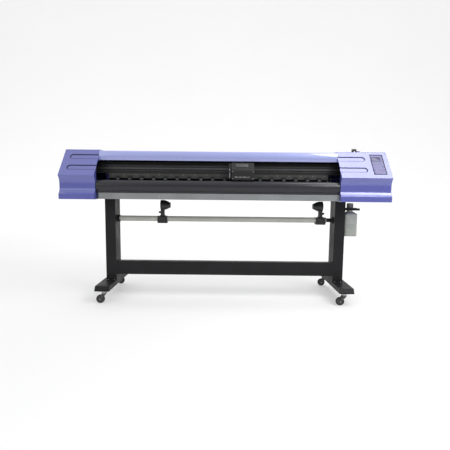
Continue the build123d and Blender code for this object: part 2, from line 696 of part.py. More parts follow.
def make_pinch_bar():
    """The pale strip under the guide beam, with the hangers and the shaft that the arms turn on."""
    strip_x = (-1000.0, 880.0)
    strip_y = (-88.0, -85.0)
    strip_z = (1032.0, GUIDE_BEAM_Z[0])
    flange_y = (strip_y[1], -46.0)
    flange_z = (1069.0, GUIDE_BEAM_Z[0])
    hanger_width = 5.0
    hanger_y = (-63.0, -47.0)
    hanger_bottom = 1042.0
    arms = pinch_positions()
    step = arms[1] - arms[0]
    hangers = [x - step / 2 for x in arms[::3]] + [arms[-1] + step / 2]
    shaft = (hangers[0] - hanger_width / 2, hangers[-1] + hanger_width / 2)
    with BuildPart() as bar:
        block(strip_x, strip_y, strip_z)
        block(strip_x, flange_y, flange_z)
        for x in hangers:
            block((x - hanger_width / 2, x + hanger_width / 2), hanger_y, (hanger_bottom, flange_z[0]))
        rod(((shaft[0] + shaft[1]) / 2, *PINCH_PIVOT), PIVOT_RADIUS, shaft[1] - shaft[0], "x")
    finish(bar.part, "pinch_bar")


ARM_WIDTH = 12.0
HEAD_HALF_WIDTH = 15.0
CHEEK_INNER = 10.5
PINCH_AXLE = 2.5
PINCH_POCKET_GAP = 0.3


def make_pinch_arms():
    """The sprung arms: hub on the shaft, tail under the lift shaft, forked head round each roller."""
    hub_radius = 8.0
    elbow = (-72.0, 1024.0)
    elbow_radius = 4.0
    neck = (-88.0, 1022.5)
    tail_end = -20.0
    tail_z = (1044.0, 1050.0)
    cheek = [(-106.0, 1016.5), (-84.0, 1016.5), (-84.0, 1027.0), (-92.0, 1027.0), (-92.0, 1052.0),
             (-106.0, 1052.0)]
    yoke_y = (-90.4, -84.0)
    yoke_z = (1018.0, 1027.0)
    bridge_y = (-106.0, -92.0)
    bridge_z = (1034.0, 1052.0)
    with BuildPart() as arms:
        for x in pinch_positions():
            arm = (x - ARM_WIDTH / 2, x + ARM_WIDTH / 2)
            for start, first, end, last in ((PINCH_PIVOT, hub_radius, elbow, elbow_radius),
                                            (elbow, elbow_radius, neck, elbow_radius)):
                with BuildSketch(Plane.YZ.offset(arm[0])):
                    with Locations(start):
                        Circle(first)
                    with Locations(end):
                        Circle(last)
                    make_hull()
                extrude(amount=ARM_WIDTH)
            block(arm, (PINCH_PIVOT[0], tail_end), tail_z)
            block((x - HEAD_HALF_WIDTH, x + HEAD_HALF_WIDTH), yoke_y, yoke_z)
            block((x - HEAD_HALF_WIDTH, x + HEAD_HALF_WIDTH), bridge_y, bridge_z)
            for low, high in ((-HEAD_HALF_WIDTH, -CHEEK_INNER), (CHEEK_INNER, HEAD_HALF_WIDTH)):
                slab((x + low, x + high), cheek)
            rod((x, *PINCH_PIVOT), PIVOT_RADIUS + RUNNING_GAP, ARM_WIDTH, "x", Mode.SUBTRACT)
            rod((x, *PINCH_AXIS), PINCH_AXLE + RUNNING_GAP, 2 * HEAD_HALF_WIDTH, "x", Mode.SUBTRACT)
            rod((x, *PINCH_AXIS), PINCH_RADIUS + PINCH_POCKET_GAP, 2 * CHEEK_INNER, "x", Mode.SUBTRACT)
    finish(arms.part, "pinch_arms")


def make_pinch_rollers():
    """One small roller with its own axle in each arm."""
    roller_half = 10.0
    with BuildPart() as rollers:
        for x in pinch_positions():
            rod((x, *PINCH_AXIS), PINCH_RADIUS, 2 * roller_half, "x")
            rod((x, *PINCH_AXIS), PINCH_AXLE, 2 * HEAD_HALF_WIDTH, "x")
    finish(rollers.part, "pinch_rollers")


def make_lift_lever():
    """The lift shaft with a finger over each arm, and the lever that stands up through the right cover."""
    shaft_x = (-1022.0, 1185.0)
    finger_tip = (LIFT_AXIS[0] - 12.0, LIFT_AXIS[1] + 10.0)
    finger_radius = 2.0
    lever_x = (1165.0, 1175.0)
    hub_radius = 13.0
    knob_centre = (150.0, 1304.0)
    lever_radius = 6.0
    grip_x = (1151.0, 1190.0)
    grip_radius = 15.0
    cap_x = (1190.0, 1222.0)
    cap_radius = 10.0
    with BuildPart() as lever:
        rod(((shaft_x[0] + shaft_x[1]) / 2, *LIFT_AXIS), LIFT_RADIUS, shaft_x[1] - shaft_x[0], "x")
        for x in pinch_positions():
            with BuildSketch(Plane.YZ.offset(x - ARM_WIDTH / 2)):
                with Locations(LIFT_AXIS):
                    Circle(LIFT_RADIUS)
                with Locations(finger_tip):
                    Circle(finger_radius)
                make_hull()
            extrude(amount=ARM_WIDTH)
        with BuildSketch(Plane.YZ.offset(lever_x[0])):
            with Locations(LIFT_AXIS):
                Circle(hub_radius)
            with Locations(knob_centre):
                Circle(lever_radius)
            make_hull()
        extrude(amount=lever_x[1] - lever_x[0])
        rod(((grip_x[0] + grip_x[1]) / 2, *knob_centre), grip_radius, grip_x[1] - grip_x[0], "x")
        rod(((cap_x[0] + cap_x[1]) / 2, *knob_centre), cap_radius, cap_x[1] - cap_x[0], "x")
    finish(lever.part, "lift_lever")


# ---------------------------------------------------------------- carriage
PLATE_Y = (-104.0, -98.0)
SHELF_Z = (1066.0, 1072.0)
TOOL_RADIUS = 8.0


def make_carriage_frame():
    """The back plate with its rail blocks, belt clamp, cable post, head shelf and tool holder."""
    plate_x = (27.0, 223.0)
    plate_z = (1076.0, 1163.0)
    block_half = 25.0
    block_x = (CARRIAGE_MIDDLE - 55.0, CARRIAGE_MIDDLE + 55.0)
    block_y = (PLATE_Y[1], -84.6)
    block_z = (1100.0, 1131.5)
    groove_y = (-90.3, block_y[1])
    groove_z = (1108.7, 1123.3)
    clamp_x = (CARRIAGE_MIDDLE - 20.0, CARRIAGE_MIDDLE + 20.0)
    clamp_y = (PLATE_Y[1], -82.2)
    clamp_z = (1153.5, 1166.5)
    post_x = (CARRIAGE_MIDDLE - 12.0, CARRIAGE_MIDDLE + 12.0)
    post_top = 1243.0
    tab_y = (PLATE_Y[1], -68.0)
    tab_z = (1239.0, post_top)
    shelf_x = (58.0, 228.0)
    shelf_y = (-217.0, PLATE_Y[1])
    holder_x = (27.0, 49.5)
    holder_y = (-149.0, PLATE_Y[1])
    holder_z = (1084.0, 1100.0)
    with BuildPart() as frame:
        block(plate_x, PLATE_Y, plate_z)
        for x in block_x:
            rail_block = (x - block_half, x + block_half)
            block(rail_block, block_y, block_z)
            block(rail_block, groove_y, groove_z, Mode.SUBTRACT)
        block(clamp_x, clamp_y, clamp_z)
        block(post_x, PLATE_Y, (plate_z[1], post_top))
        block(post_x, tab_y, tab_z)
        block(shelf_x, shelf_y, (SHELF_Z[0], SHELF_Z[1]))
        block(shelf_x, PLATE_Y, (SHELF_Z[0], plate_z[0]))
        block(holder_x, holder_y, holder_z)
        rod((*CUTTER_AXIS, sum(holder_z) / 2), TOOL_RADIUS + RUNNING_GAP, holder_z[1] - holder_z[0], "z",
            Mode.SUBTRACT)
    finish(frame.part, "carriage_frame")


def make_carriage_cover():
    """The carriage's moulded cover: upright front, sloped face and flat top, open behind and below."""
    wall = 2.5
    front = -228.0
    bottom = 1024.0
    shoulder = 1100.0
    slope_top = -172.0
    top = 1166.0
    step = (-118.0, 1078.0)
    back = PLATE_Y[0]
    edge_radius = 8.0
    outer = [(front, bottom), (front, shoulder), (slope_top, top), (back, top), (back, step[1]), step,
             (step[0], bottom)]
    inner = [(front + wall, bottom - wall), (front + wall, shoulder), (slope_top, top - wall),
             (back + wall, top - wall), (back + wall, bottom - wall)]
    with BuildPart() as cover:
        slab(CARRIAGE_X, outer)
        for corner in ((front, shoulder), (slope_top, top)):
            long_edges = cover.edges().filter_by(Axis.X)
            fillet(long_edges.sort_by_distance((CARRIAGE_MIDDLE, *corner))[0], edge_radius)
        slab(inset(CARRIAGE_X, wall), inner, Mode.SUBTRACT)
    finish(cover.part, "carriage_cover")


def make_print_heads():
    """The print heads under the shelf, one for each ink, each with its nozzle plate below."""
    head_width = 34.0
    head_y = (-213.0, -125.0)
    nozzle_z = 1022.0
    nozzle_inset = (4.0, 8.0)
    with BuildPart() as heads:
        for number in range(HEAD_COUNT):
            x = CARRIAGE_MIDDLE + (number - (HEAD_COUNT - 1) / 2) * HEAD_PITCH
            width = (x - head_width / 2, x + head_width / 2)
            block(width, head_y, (nozzle_z, SHELF_Z[0]))
            block(inset(width, nozzle_inset[0]), inset(head_y, nozzle_inset[1]), (HEAD_FACE_Z, nozzle_z))
    finish(heads.part, "print_heads")


def make_cutter_tool():
    """The knife: a round body with a collar, a tapered nose and a fine blade."""
    body_z = (1042.0, 1106.0)
    collar_top = 1117.0
    collar_radius = 11.0
    nose_bottom = 1026.0
    nose_radius = 2.5
    blade_radius = 0.8
    blade_point = 2.0
    tip = 1019.0
    with BuildPart() as tool:
        with BuildSketch(Plane.XZ.offset(-CUTTER_AXIS[1])):
            with BuildLine():
                x = CUTTER_AXIS[0]
                Polyline((x, tip), (x + blade_radius, tip + blade_point), (x + blade_radius, nose_bottom),
                         (x + nose_radius, nose_bottom), (x + TOOL_RADIUS, body_z[0]),
                         (x + TOOL_RADIUS, body_z[1]), (x + collar_radius, body_z[1]),
                         (x + collar_radius, collar_top), (x, collar_top), close=True)
            make_face()
        revolve(axis=Axis((*CUTTER_AXIS, 0), (0, 0, 1)))
    finish(tool.part, "cutter_tool")


# ---------------------------------------------------------------- carriage drive
BELT_GAP = 0.3
BELT_THICKNESS = 1.5
FLANGE_RADIUS = 23.0
FLANGE_HEIGHT = 1.4
FLANGE_GAP = 0.6


def make_drive_belt():
    """The toothed belt's closed loop round both pulleys."""
    radius = PULLEY_RADIUS + BELT_GAP
    centre = (DRIVE_PULLEY_X + IDLER_X) / 2
    length = IDLER_X - DRIVE_PULLEY_X
    with BuildPart() as belt:
        with BuildSketch(Plane.XY.offset(BELT_Z[0])):
            with Locations((centre, BELT_Y)):
                SlotCenterToCenter(length, 2 * (radius + BELT_THICKNESS))
                SlotCenterToCenter(length, 2 * radius, mode=Mode.SUBTRACT)
        extrude(amount=BELT_Z[1] - BELT_Z[0])
    finish(belt.part, "drive_belt")


def make_pulley(name, x, bore, shaft_top):
    """A flanged belt pulley, bored for a pin or with its own shaft above."""
    low = BELT_Z[0] - FLANGE_HEIGHT - FLANGE_GAP
    high = BELT_Z[1] + FLANGE_HEIGHT + FLANGE_GAP
    with BuildPart() as pulley:
        rod((x, BELT_Y, (low + high) / 2), PULLEY_RADIUS, high - low, "z")
        for z in (low + FLANGE_HEIGHT / 2, high - FLANGE_HEIGHT / 2):
            rod((x, BELT_Y, z), FLANGE_RADIUS, FLANGE_HEIGHT, "z")
        if bore:
            rod((x, BELT_Y, (low + high) / 2), bore, high - low, "z", Mode.SUBTRACT)
        if shaft_top:
            rod((x, BELT_Y, (high + shaft_top) / 2), LIFT_RADIUS, shaft_top - high, "z")
    finish(pulley.part, name)


def make_carriage_motor():
    """The carriage motor standing on its bracket above the drive pulley."""
    bracket_x = (-1288.0, -1196.0)
    foot_x = (-1288.0, -1278.0)
    plate_z = (1171.0, 1176.0)
    half_width = 34.0
    body_x = (DRIVE_PULLEY_X - half_width, DRIVE_PULLEY_X + half_width)
    body_y = (BELT_Y - half_width, BELT_Y + half_width)
    body_z = (plate_z[1], 1234.0)
    shaft_hole = 8.0
    edge_radius = 3.0
    with BuildPart() as motor:
        block(bracket_x, GUIDE_BEAM_Y, plate_z)
        block(foot_x, GUIDE_BEAM_Y, (GUIDE_BEAM_Z[1], plate_z[0]))
        block(body_x, body_y, body_z)
        fillet(motor.faces().sort_by(Axis.Z)[-1].edges(), edge_radius)
        rod((DRIVE_PULLEY_X, BELT_Y, sum(plate_z) / 2), shaft_hole, 2 * (plate_z[1] - plate_z[0]), "z",
            Mode.SUBTRACT)
    finish(motor.part, "carriage_motor")


def make_cable_chain():
    """The carriage's cable chain at rest: lower run on the tray, one bend and the upper run back."""
    width_y = (-92.0, -70.0)
    run_thickness = 14.0
    tray_top = 1185.5
    bend_radius = 19.0
    start_x = 62.0
    bend_x = 640.0
    end_x = CARRIAGE_MIDDLE
    low = tray_top + run_thickness / 2
    high = low + 2 * bend_radius
    with BuildPart() as chain:
        with BuildSketch(Plane.XZ.offset(-width_y[0])):
            with BuildLine() as middle:
                Line((start_x, low), (bend_x, low))
                ThreePointArc((bend_x, low), (bend_x + bend_radius, low + bend_radius), (bend_x, high))
                Line((bend_x, high), (end_x, high))
            trace(middle.edges(), run_thickness)
        extrude(amount=-(width_y[1] - width_y[0]))
    finish(chain.part, "cable_chain")


# ---------------------------------------------------------------- right end and supply
KEY_SIZE = 14.0
KEY_GAP = 0.6
KEYS = {
    "key_left": (1226.0, -190.0),
    "key_right": (1260.0, -190.0),
    "key_enter": (1294.0, -190.0),
    "key_power": (1294.0, -150.0),
}
PANEL_THICKNESS = 3.0


def make_control_panel():
    """The membrane panel in the slope's recess, with a raised display and a hole for each key."""
    display = (1252.0, -78.0)
    display_size = (76.0, 44.0)
    display_height = 0.8
    edge_gap = 0.5
    panel_x = inset(PANEL_X, edge_gap)
    panel_y = inset(PANEL_Y, edge_gap)
    with BuildPart() as panel:
        with BuildSketch(SLOPE.offset(-PANEL_RECESS)):
            with Locations(((panel_x[0] + panel_x[1]) / 2, (panel_y[0] + panel_y[1]) / 2)):
                Rectangle(panel_x[1] - panel_x[0], panel_y[1] - panel_y[0])
            for place in KEYS.values():
                with Locations(place):
                    Rectangle(KEY_SIZE + 2 * KEY_GAP, KEY_SIZE + 2 * KEY_GAP, mode=Mode.SUBTRACT)
        extrude(amount=PANEL_THICKNESS)
        with BuildSketch(SLOPE.offset(PANEL_THICKNESS - PANEL_RECESS)):
            with Locations(display):
                Rectangle(*display_size)
        extrude(amount=display_height)
    finish(panel.part, "control_panel")


def make_key(name, place):
    """One square key, standing a little proud of the panel."""
    underside = 1.0
    height = PANEL_THICKNESS + 0.6
    corner_radius = 2.0
    with BuildPart() as key:
        with BuildSketch(SLOPE.offset(underside - PANEL_RECESS)):
            with Locations(place):
                RectangleRounded(KEY_SIZE, KEY_SIZE, corner_radius)
        extrude(amount=height)
    finish(key.part, name)


PARKED_MIDDLE = CARRIAGE_MIDDLE + 1022.0
CAP_STATION_X = (PARKED_MIDDLE - 80.0, PARKED_MIDDLE + 80.0)
CAP_STATION_Y = (-225.0, -128.0)


def make_capping_base():
    """The open box under the parked heads that guides the cap tray."""
    wall = 4.0
    base_z = (COVER_BOTTOM + COVER_WALL, 985.0)
    with BuildPart() as base:
        block(CAP_STATION_X, CAP_STATION_Y, base_z)
        block(inset(CAP_STATION_X, wall), inset(CAP_STATION_Y, wall), (base_z[0] + wall, base_z[1]),
              Mode.SUBTRACT)
    finish(base.part, "capping_base")


def make_capping_tray():
    """The lifting tray: a cap ring for each head and four guide rods below."""
    side_gap = 5.0
    tray_x = inset(CAP_STATION_X, side_gap)
    tray_y = inset(CAP_STATION_Y, side_gap)
    tray_z = (988.0, 999.0)
    ring_top = 1008.0
    ring_width = 34.0
    ring_wall = 4.0
    rod_bottom = 880.0
    rod_pitch = (120.0, 60.0)
    with BuildPart() as tray:
        block(tray_x, tray_y, tray_z)
        for number in range(HEAD_COUNT):
            x = sum(tray_x) / 2 + (number - (HEAD_COUNT - 1) / 2) * HEAD_PITCH
            ring = (x - ring_width / 2, x + ring_width / 2)
            block(ring, tray_y, (tray_z[1], ring_top))
            block(inset(ring, ring_wall), inset(tray_y, ring_wall), (tray_z[1], ring_top), Mode.SUBTRACT)
        with Locations((sum(tray_x) / 2, sum(tray_y) / 2, rod_bottom)):
            with GridLocations(*rod_pitch, 2, 2):
                Cylinder(PIVOT_RADIUS, tray_z[0] - rod_bottom, align=(Align.CENTER, Align.CENTER, Align.MIN))
    finish(tray.part, "capping_tray")


def make_ink_tanks():
    """The ink tanks in the left cover, each with a filler cap."""
    pitch = 44.0
    width = 40.0
    first_x = -1246.0
    tank_y = (60.0, 200.0)
    tank_z = (COVER_BOTTOM + COVER_WALL, 1000.0)
    cap_radius = 14.0
    cap_height = 14.0
    with BuildPart() as tanks:
        for number in range(HEAD_COUNT):
            x = first_x + number * pitch
            block((x - width / 2, x + width / 2), tank_y, tank_z)
            rod((x, sum(tank_y) / 2, tank_z[1] + cap_height / 2), cap_radius, cap_height, "z")
    finish(tanks.part, "ink_tanks")


ROCKER_AXIS_DEPTH = 4.0
ROCKER_AXIS = (COVER_BACK - ROCKER_AXIS_DEPTH, sum(SWITCH_Z) / 2)
ROCKER_PIVOT = 1.5
ROCKER_PIVOT_LENGTH = 11.6


def make_control_box():
    """The electronics box in the right cover, with the mains inlet and the switch's housing behind it."""
    box_x = (1070.0, 1272.0)
    box_y = (70.0, 200.0)
    box_z = (COVER_BOTTOM + COVER_WALL, 1020.0)
    inlet_back = COVER_BACK + 1.5
    hole_gap = 0.5
    inlet_x = inset(INLET_X, hole_gap)
    inlet_z = inset(INLET_Z, hole_gap)
    inlet_wall = 3.0
    inlet_depth = 20.0
    switch_x = inset(SWITCH_X, hole_gap)
    switch_z = inset(SWITCH_Z, hole_gap)
    switch_wall = 1.5
    pocket = (COVER_BACK - 15.0, COVER_BACK + 2.0)
    with BuildPart() as box:
        block(box_x, box_y, box_z)
        block(inlet_x, (box_y[1], inlet_back), inlet_z)
        block(inset(inlet_x, inlet_wall), (inlet_back - inlet_depth, inlet_back), inset(inlet_z, inlet_wall),
              Mode.SUBTRACT)
        block(switch_x, (box_y[1], inlet_back), switch_z)
        block(inset(switch_x, switch_wall), pocket, inset(switch_z, switch_wall), Mode.SUBTRACT)
        rod((sum(SWITCH_X) / 2, *ROCKER_AXIS), ROCKER_PIVOT + RUNNING_GAP,
            ROCKER_PIVOT_LENGTH + 2 * RUNNING_GAP, "x", Mode.SUBTRACT)
    finish(box.part, "control_box")


def make_rocker_switch():
    """The rocker of the mains switch, pivoted across its middle."""
    rocker_x = inset(SWITCH_X, 2.5)
    chamfer_height = 2.0
    rocker_y = (COVER_BACK - 10.0, COVER_BACK + 3.0)
    middle = sum(SWITCH_Z) / 2
    half_height = 7.6
    crown = 1.5
    with BuildPart() as rocker:
        slab(rocker_x, [(rocker_y[0], middle - half_height + chamfer_height),
                        (rocker_y[1], middle - half_height), (rocker_y[1] - crown, middle),
                        (rocker_y[1], middle + half_height),
                        (rocker_y[0], middle + half_height - chamfer_height)])
        rod((sum(SWITCH_X) / 2, *ROCKER_AXIS), ROCKER_PIVOT, ROCKER_PIVOT_LENGTH, "x")
    finish(rocker.part, "rocker_switch")


# ---------------------------------------------------------------- roll support
SADDLE_HALF_LENGTH = 42.0
SADDLE_GAP = 0.3
STEM_HALF_WIDTH = 15.5
CHUCK_SPIGOT = 8.0
KNOB_HEIGHT = 738.0
INWARD = {"left": 1, "right": -1}


def make_roll_bar():
    """The tube that the roll holders slide on."""
    tube_wall = 3.0
    middle = (BAR_X[0] + BAR_X[1]) / 2
    with BuildPart() as bar:
        rod((middle, *BAR_AXIS), BAR_RADIUS, BAR_X[1] - BAR_X[0], "x")
        rod((middle, *BAR_AXIS), BAR_RADIUS - tube_wall, BAR_X[1] - BAR_X[0], "x", Mode.SUBTRACT)
    finish(bar.part, "roll_bar")


def make_roll_holder(side):
    """A roll holder: split saddle round the bar, stem and the boss that the chuck turns in."""
    x = HOLDER_X[side]
    inward = INWARD[side]
    y, bar_z = BAR_AXIS
    saddle_half_depth = 32.0
    saddle_y = (y - saddle_half_depth, y + saddle_half_depth)
    saddle_z = (bar_z - 35.0, bar_z + 24.0)
    saddle_radius = 8.0
    shoulder_half_width = 30.0
    shoulder_z = 716.0
    stem_bottom = saddle_z[1] - 2.0
    stem_half_depth = 18.0
    boss_radius = 44.0
    screw_hole_depth = 9.0
    knob_hole = (x - inward * STEM_HALF_WIDTH, y, KNOB_HEIGHT)
    with BuildPart() as holder:
        block((x - SADDLE_HALF_LENGTH, x + SADDLE_HALF_LENGTH), saddle_y, saddle_z)
        fillet(holder.edges().filter_by(Axis.X), saddle_radius)
        with BuildSketch(Plane.XZ.offset(stem_half_depth - y)):
            with BuildLine():
                Polyline((x - shoulder_half_width, stem_bottom), (x + shoulder_half_width, stem_bottom),
                         (x + STEM_HALF_WIDTH, shoulder_z), (x + STEM_HALF_WIDTH, CHUCK_HEIGHT),
                         (x - STEM_HALF_WIDTH, CHUCK_HEIGHT), (x - STEM_HALF_WIDTH, shoulder_z), close=True)
            make_face()
        extrude(amount=-2 * stem_half_depth)
        rod((x, y, CHUCK_HEIGHT), boss_radius, 2 * STEM_HALF_WIDTH, "x")
        rod((x, y, CHUCK_HEIGHT), CHUCK_SPIGOT + RUNNING_GAP, 2 * STEM_HALF_WIDTH, "x", Mode.SUBTRACT)
        rod((x, *BAR_AXIS), BAR_RADIUS + SADDLE_GAP, 2 * SADDLE_HALF_LENGTH, "x", Mode.SUBTRACT)
        rod(knob_hole, PIVOT_RADIUS + RUNNING_GAP, 2 * screw_hole_depth, "x", Mode.SUBTRACT)
    finish(holder.part, f"roll_holder_{side}")


def make_core_chuck(side):
    """A cone chuck with a short straight tip that enters the media's core, on a spigot."""
    inward = INWARD[side]
    y = BAR_AXIS[0]
    face = HOLDER_X[side] + inward * (STEM_HALF_WIDTH + 0.5)
    base_radius = 42.0
    rim = 6.0
    cone_length = 34.0
    tip_length = 12.0
    tip_radius = 24.0
    tip_shoulder = 4.0
    spigot_length = 2 * STEM_HALF_WIDTH + 1.0
    washer = 3.0
    washer_radius = 12.0
    end = face + inward * (rim + cone_length + tip_length)
    with BuildPart() as chuck:
        with BuildSketch(Plane.XZ.offset(-y)):
            with BuildLine():
                cone_end = end - inward * tip_length
                cone_start = face + inward * rim
                back = face - inward * spigot_length
                washer_back = back - inward * washer
                Polyline((washer_back, CHUCK_HEIGHT), (washer_back, CHUCK_HEIGHT + washer_radius),
                         (back, CHUCK_HEIGHT + washer_radius), (back, CHUCK_HEIGHT + CHUCK_SPIGOT),
                         (face, CHUCK_HEIGHT + CHUCK_SPIGOT), (face, CHUCK_HEIGHT + base_radius),
                         (cone_start, CHUCK_HEIGHT + base_radius),
                         (cone_end, CHUCK_HEIGHT + tip_radius + tip_shoulder),
                         (cone_end, CHUCK_HEIGHT + tip_radius), (end, CHUCK_HEIGHT + tip_radius),
                         (end, CHUCK_HEIGHT), close=True)
            make_face()
        revolve(axis=Axis((0, y, CHUCK_HEIGHT), (1, 0, 0)))
    finish(chuck.part, f"core_chuck_{side}")


def make_clamp_knob(side):
    """The clamp screw in the outer side of a holder's foot, with a winged head."""
    inward = INWARD[side]
    y = BAR_AXIS[0]
    stem_gap = 3.0
    face = HOLDER_X[side] - inward * (STEM_HALF_WIDTH + stem_gap)
    head_length = 16.0
    head_radius = 10.0
    wing_half = 17.0
    wing_thickness = 8.0
    edge_radius = 5.0
    screw_length = 10.0
    head = (face, face - inward * head_length)
    with BuildPart() as knob:
        rod((sum(head) / 2, y, KNOB_HEIGHT), head_radius, head_length, "x")
        block((min(head), max(head)), (y - wing_thickness / 2, y + wing_thickness / 2),
              (KNOB_HEIGHT - wing_half, KNOB_HEIGHT + wing_half))
        fillet(knob.edges().filter_by(Axis.Y), edge_radius)
        rod((face + inward * screw_length / 2, y, KNOB_HEIGHT), PIVOT_RADIUS, screw_length, "x")
    finish(knob.part, f"clamp_knob_{side}")


# ---------------------------------------------------------------- waste bottle
NECK_RADIUS = 24.0
BRACKET_Z = (780.0, 784.0)
BOTTLE_MIDDLE = ((BOTTLE_X[0] + BOTTLE_X[1]) / 2, (BOTTLE_Y[0] + BOTTLE_Y[1]) / 2)


def make_bottle_bracket():
    """The bracket on the right leg: a flanged plate with a hole that the bottle's neck hangs in."""
    leg_face = LEG_CENTRE + LEG_WIDTH / 2
    plate_x = (leg_face, 1173.0)
    plate_y = (-65.0, 15.0)
    flange_z = (771.0, 790.0)
    flange = 3.0
    wall_z = (745.0, 805.0)
    wall = 4.0
    neck_gap = 3.5
    with BuildPart() as bracket:
        block(plate_x, plate_y, BRACKET_Z)
        for low, high in ((plate_y[0], plate_y[0] + flange), (plate_y[1] - flange, plate_y[1])):
            block(plate_x, (low, high), flange_z)
        block((plate_x[0], plate_x[0] + wall), plate_y, wall_z)
        rod((*BOTTLE_MIDDLE, sum(BRACKET_Z) / 2), NECK_RADIUS + neck_gap, BRACKET_Z[1] - BRACKET_Z[0], "z",
            Mode.SUBTRACT)
    finish(bracket.part, "bottle_bracket")


def make_waste_bottle():
    """The hollow waste bottle: rounded square body, sloped shoulder and round neck."""
    body_top = 738.0
    neck_bottom = 765.0
    neck_top = 824.0
    wall = 2.0
    corner = 18.0
    size = (BOTTLE_X[1] - BOTTLE_X[0], BOTTLE_Y[1] - BOTTLE_Y[0])
    with BuildPart() as bottle:
        for shrink, mode in ((0.0, Mode.ADD), (wall, Mode.SUBTRACT)):
            with BuildSketch(Plane.XY.offset(BOTTLE_BASE + shrink)):
                with Locations(BOTTLE_MIDDLE):
                    RectangleRounded(size[0] - 2 * shrink, size[1] - 2 * shrink, corner - shrink)
            extrude(amount=body_top - BOTTLE_BASE - shrink, mode=mode)
            with BuildSketch(Plane.XY.offset(body_top)):
                with Locations(BOTTLE_MIDDLE):
                    RectangleRounded(size[0] - 2 * shrink, size[1] - 2 * shrink, corner - shrink)
            with BuildSketch(Plane.XY.offset(neck_bottom)):
                with Locations(BOTTLE_MIDDLE):
                    Circle(NECK_RADIUS - shrink)
            loft(mode=mode)
            rod((*BOTTLE_MIDDLE, (neck_bottom + neck_top) / 2), NECK_RADIUS - shrink, neck_top - neck_bottom,
                "z", mode)
    finish(bottle.part, "waste_bottle")


def make_bottle_cap():
    """The screw cap that carries the bottle on its bracket."""
    flange_radius = 31.0
    cap_radius = 28.0
    fit_gap = 0.3
    bottom = BRACKET_Z[1] + fit_gap
    flange_top = bottom + 6.0
    top = 832.0
    top_radius = 3.0
    inside_top = 826.0
    with BuildPart() as cap:
        rod((*BOTTLE_MIDDLE, (bottom + flange_top) / 2), flange_radius, flange_top - bottom, "z")
        rod((*BOTTLE_MIDDLE, (bottom + top) / 2), cap_radius, top - bottom, "z")
        fillet(cap.faces().sort_by(Axis.Z)[-1].edges(), top_radius)
        rod((*BOTTLE_MIDDLE, (bottom + inside_top) / 2), NECK_RADIUS + fit_gap, inside_top - bottom, "z",
            Mode.SUBTRACT)
    finish(cap.part, "bottle_cap")


# ---------------------------------------------------------------- build everything
make_feet()
make_legs()
make_stretcher()
make_stand_bolts()
make_castor_plates()
for corner, (x, y) in CORNERS.items():
    make_castor_fork(corner, x, y)
    make_castor_wheel(corner, x, y)

make_end_cover("left")
make_end_cover("right")
make_end_frames()
make_main_beam()
make_guide_beam()
make_linear_rail()
make_platen()
make_front_rail()
finish(make_front_apron().part, "front_apron")
finish(make_rear_guide().part, "rear_guide")
finish(make_top_cover().part, "top_cover")
finish(make_rear_cover().part, "rear_cover")

make_feed_roller()
make_feed_motor()
make_pinch_bar()
make_pinch_arms()
make_pinch_rollers()
make_lift_lever()

make_carriage_frame()
make_carriage_cover()
make_print_heads()
make_cutter_tool()
make_drive_belt()
make_pulley("drive_pulley", DRIVE_PULLEY_X, None, 1175.0)
make_pulley("idler_pulley", IDLER_X, PIVOT_RADIUS + RUNNING_GAP, None)
make_carriage_motor()
make_cable_chain()

make_control_panel()
for key_name, key_place in KEYS.items():
    make_key(key_name, key_place)
make_capping_base()
make_capping_tray()
make_ink_tanks()
make_control_box()
make_rocker_switch()

make_roll_bar()
for holder_side in ("left", "right"):
    make_roll_holder(holder_side)
    make_core_chuck(holder_side)
    make_clamp_knob(holder_side)
make_bottle_bracket()
make_waste_bottle()
make_bottle_cap()
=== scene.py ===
"""Looks of the wide-format roll printer and cutter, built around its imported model. Metres, +Z up."""
import json
import math

import bmesh
import bpy
from mathutils import Matrix, Vector


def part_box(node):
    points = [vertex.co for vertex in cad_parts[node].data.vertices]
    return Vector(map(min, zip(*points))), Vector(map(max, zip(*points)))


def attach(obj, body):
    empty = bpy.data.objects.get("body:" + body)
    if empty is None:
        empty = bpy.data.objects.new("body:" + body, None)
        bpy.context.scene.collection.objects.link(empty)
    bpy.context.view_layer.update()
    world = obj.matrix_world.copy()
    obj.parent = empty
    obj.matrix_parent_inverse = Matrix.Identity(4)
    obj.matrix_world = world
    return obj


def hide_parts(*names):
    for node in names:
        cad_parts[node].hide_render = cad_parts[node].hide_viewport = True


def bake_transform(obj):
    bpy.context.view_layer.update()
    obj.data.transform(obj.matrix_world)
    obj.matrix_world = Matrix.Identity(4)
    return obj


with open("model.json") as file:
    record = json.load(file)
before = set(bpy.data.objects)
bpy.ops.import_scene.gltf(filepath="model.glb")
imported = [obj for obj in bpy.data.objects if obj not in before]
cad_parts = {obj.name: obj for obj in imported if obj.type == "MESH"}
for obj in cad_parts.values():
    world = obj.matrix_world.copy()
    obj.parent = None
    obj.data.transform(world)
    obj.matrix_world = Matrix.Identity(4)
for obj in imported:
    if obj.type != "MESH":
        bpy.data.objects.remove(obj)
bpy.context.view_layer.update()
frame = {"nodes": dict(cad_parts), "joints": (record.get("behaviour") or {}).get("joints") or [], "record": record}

# ---- driving values
MM = 0.001
CAMERA_DISTANCE = 3.355
CAMERA_HEIGHT = 0.984
CAMERA_PITCH = 6.1
CAMERA_ROLL = 0.6
CAMERA_LENS = 30.24
CAMERA_SENSOR = 36.0
CAMERA_REACH = 60.0
HORIZON_LIGHT = 0.4
OVERHEAD_LIGHT = 1.05
SEEN_AIR = (0.9, 0.9, 0.9, 1.0)
SKY_BAND = (0.05, 0.9)
FLOOR_GLOW = 0.29
WALL_GLOW = 0.5
SMOOTH_ANGLE = math.radians(32)
CORNERS = ("front_left", "front_right", "rear_left", "rear_right")
SIDES = {"left": -1, "right": 1}
SLOPE_ORIGIN = (0.0, -0.111, 1.268)
SLOT_CENTRES = (-0.081, -0.200)
SLOT_LENGTH = {"left": 0.238, "right": 0.225}
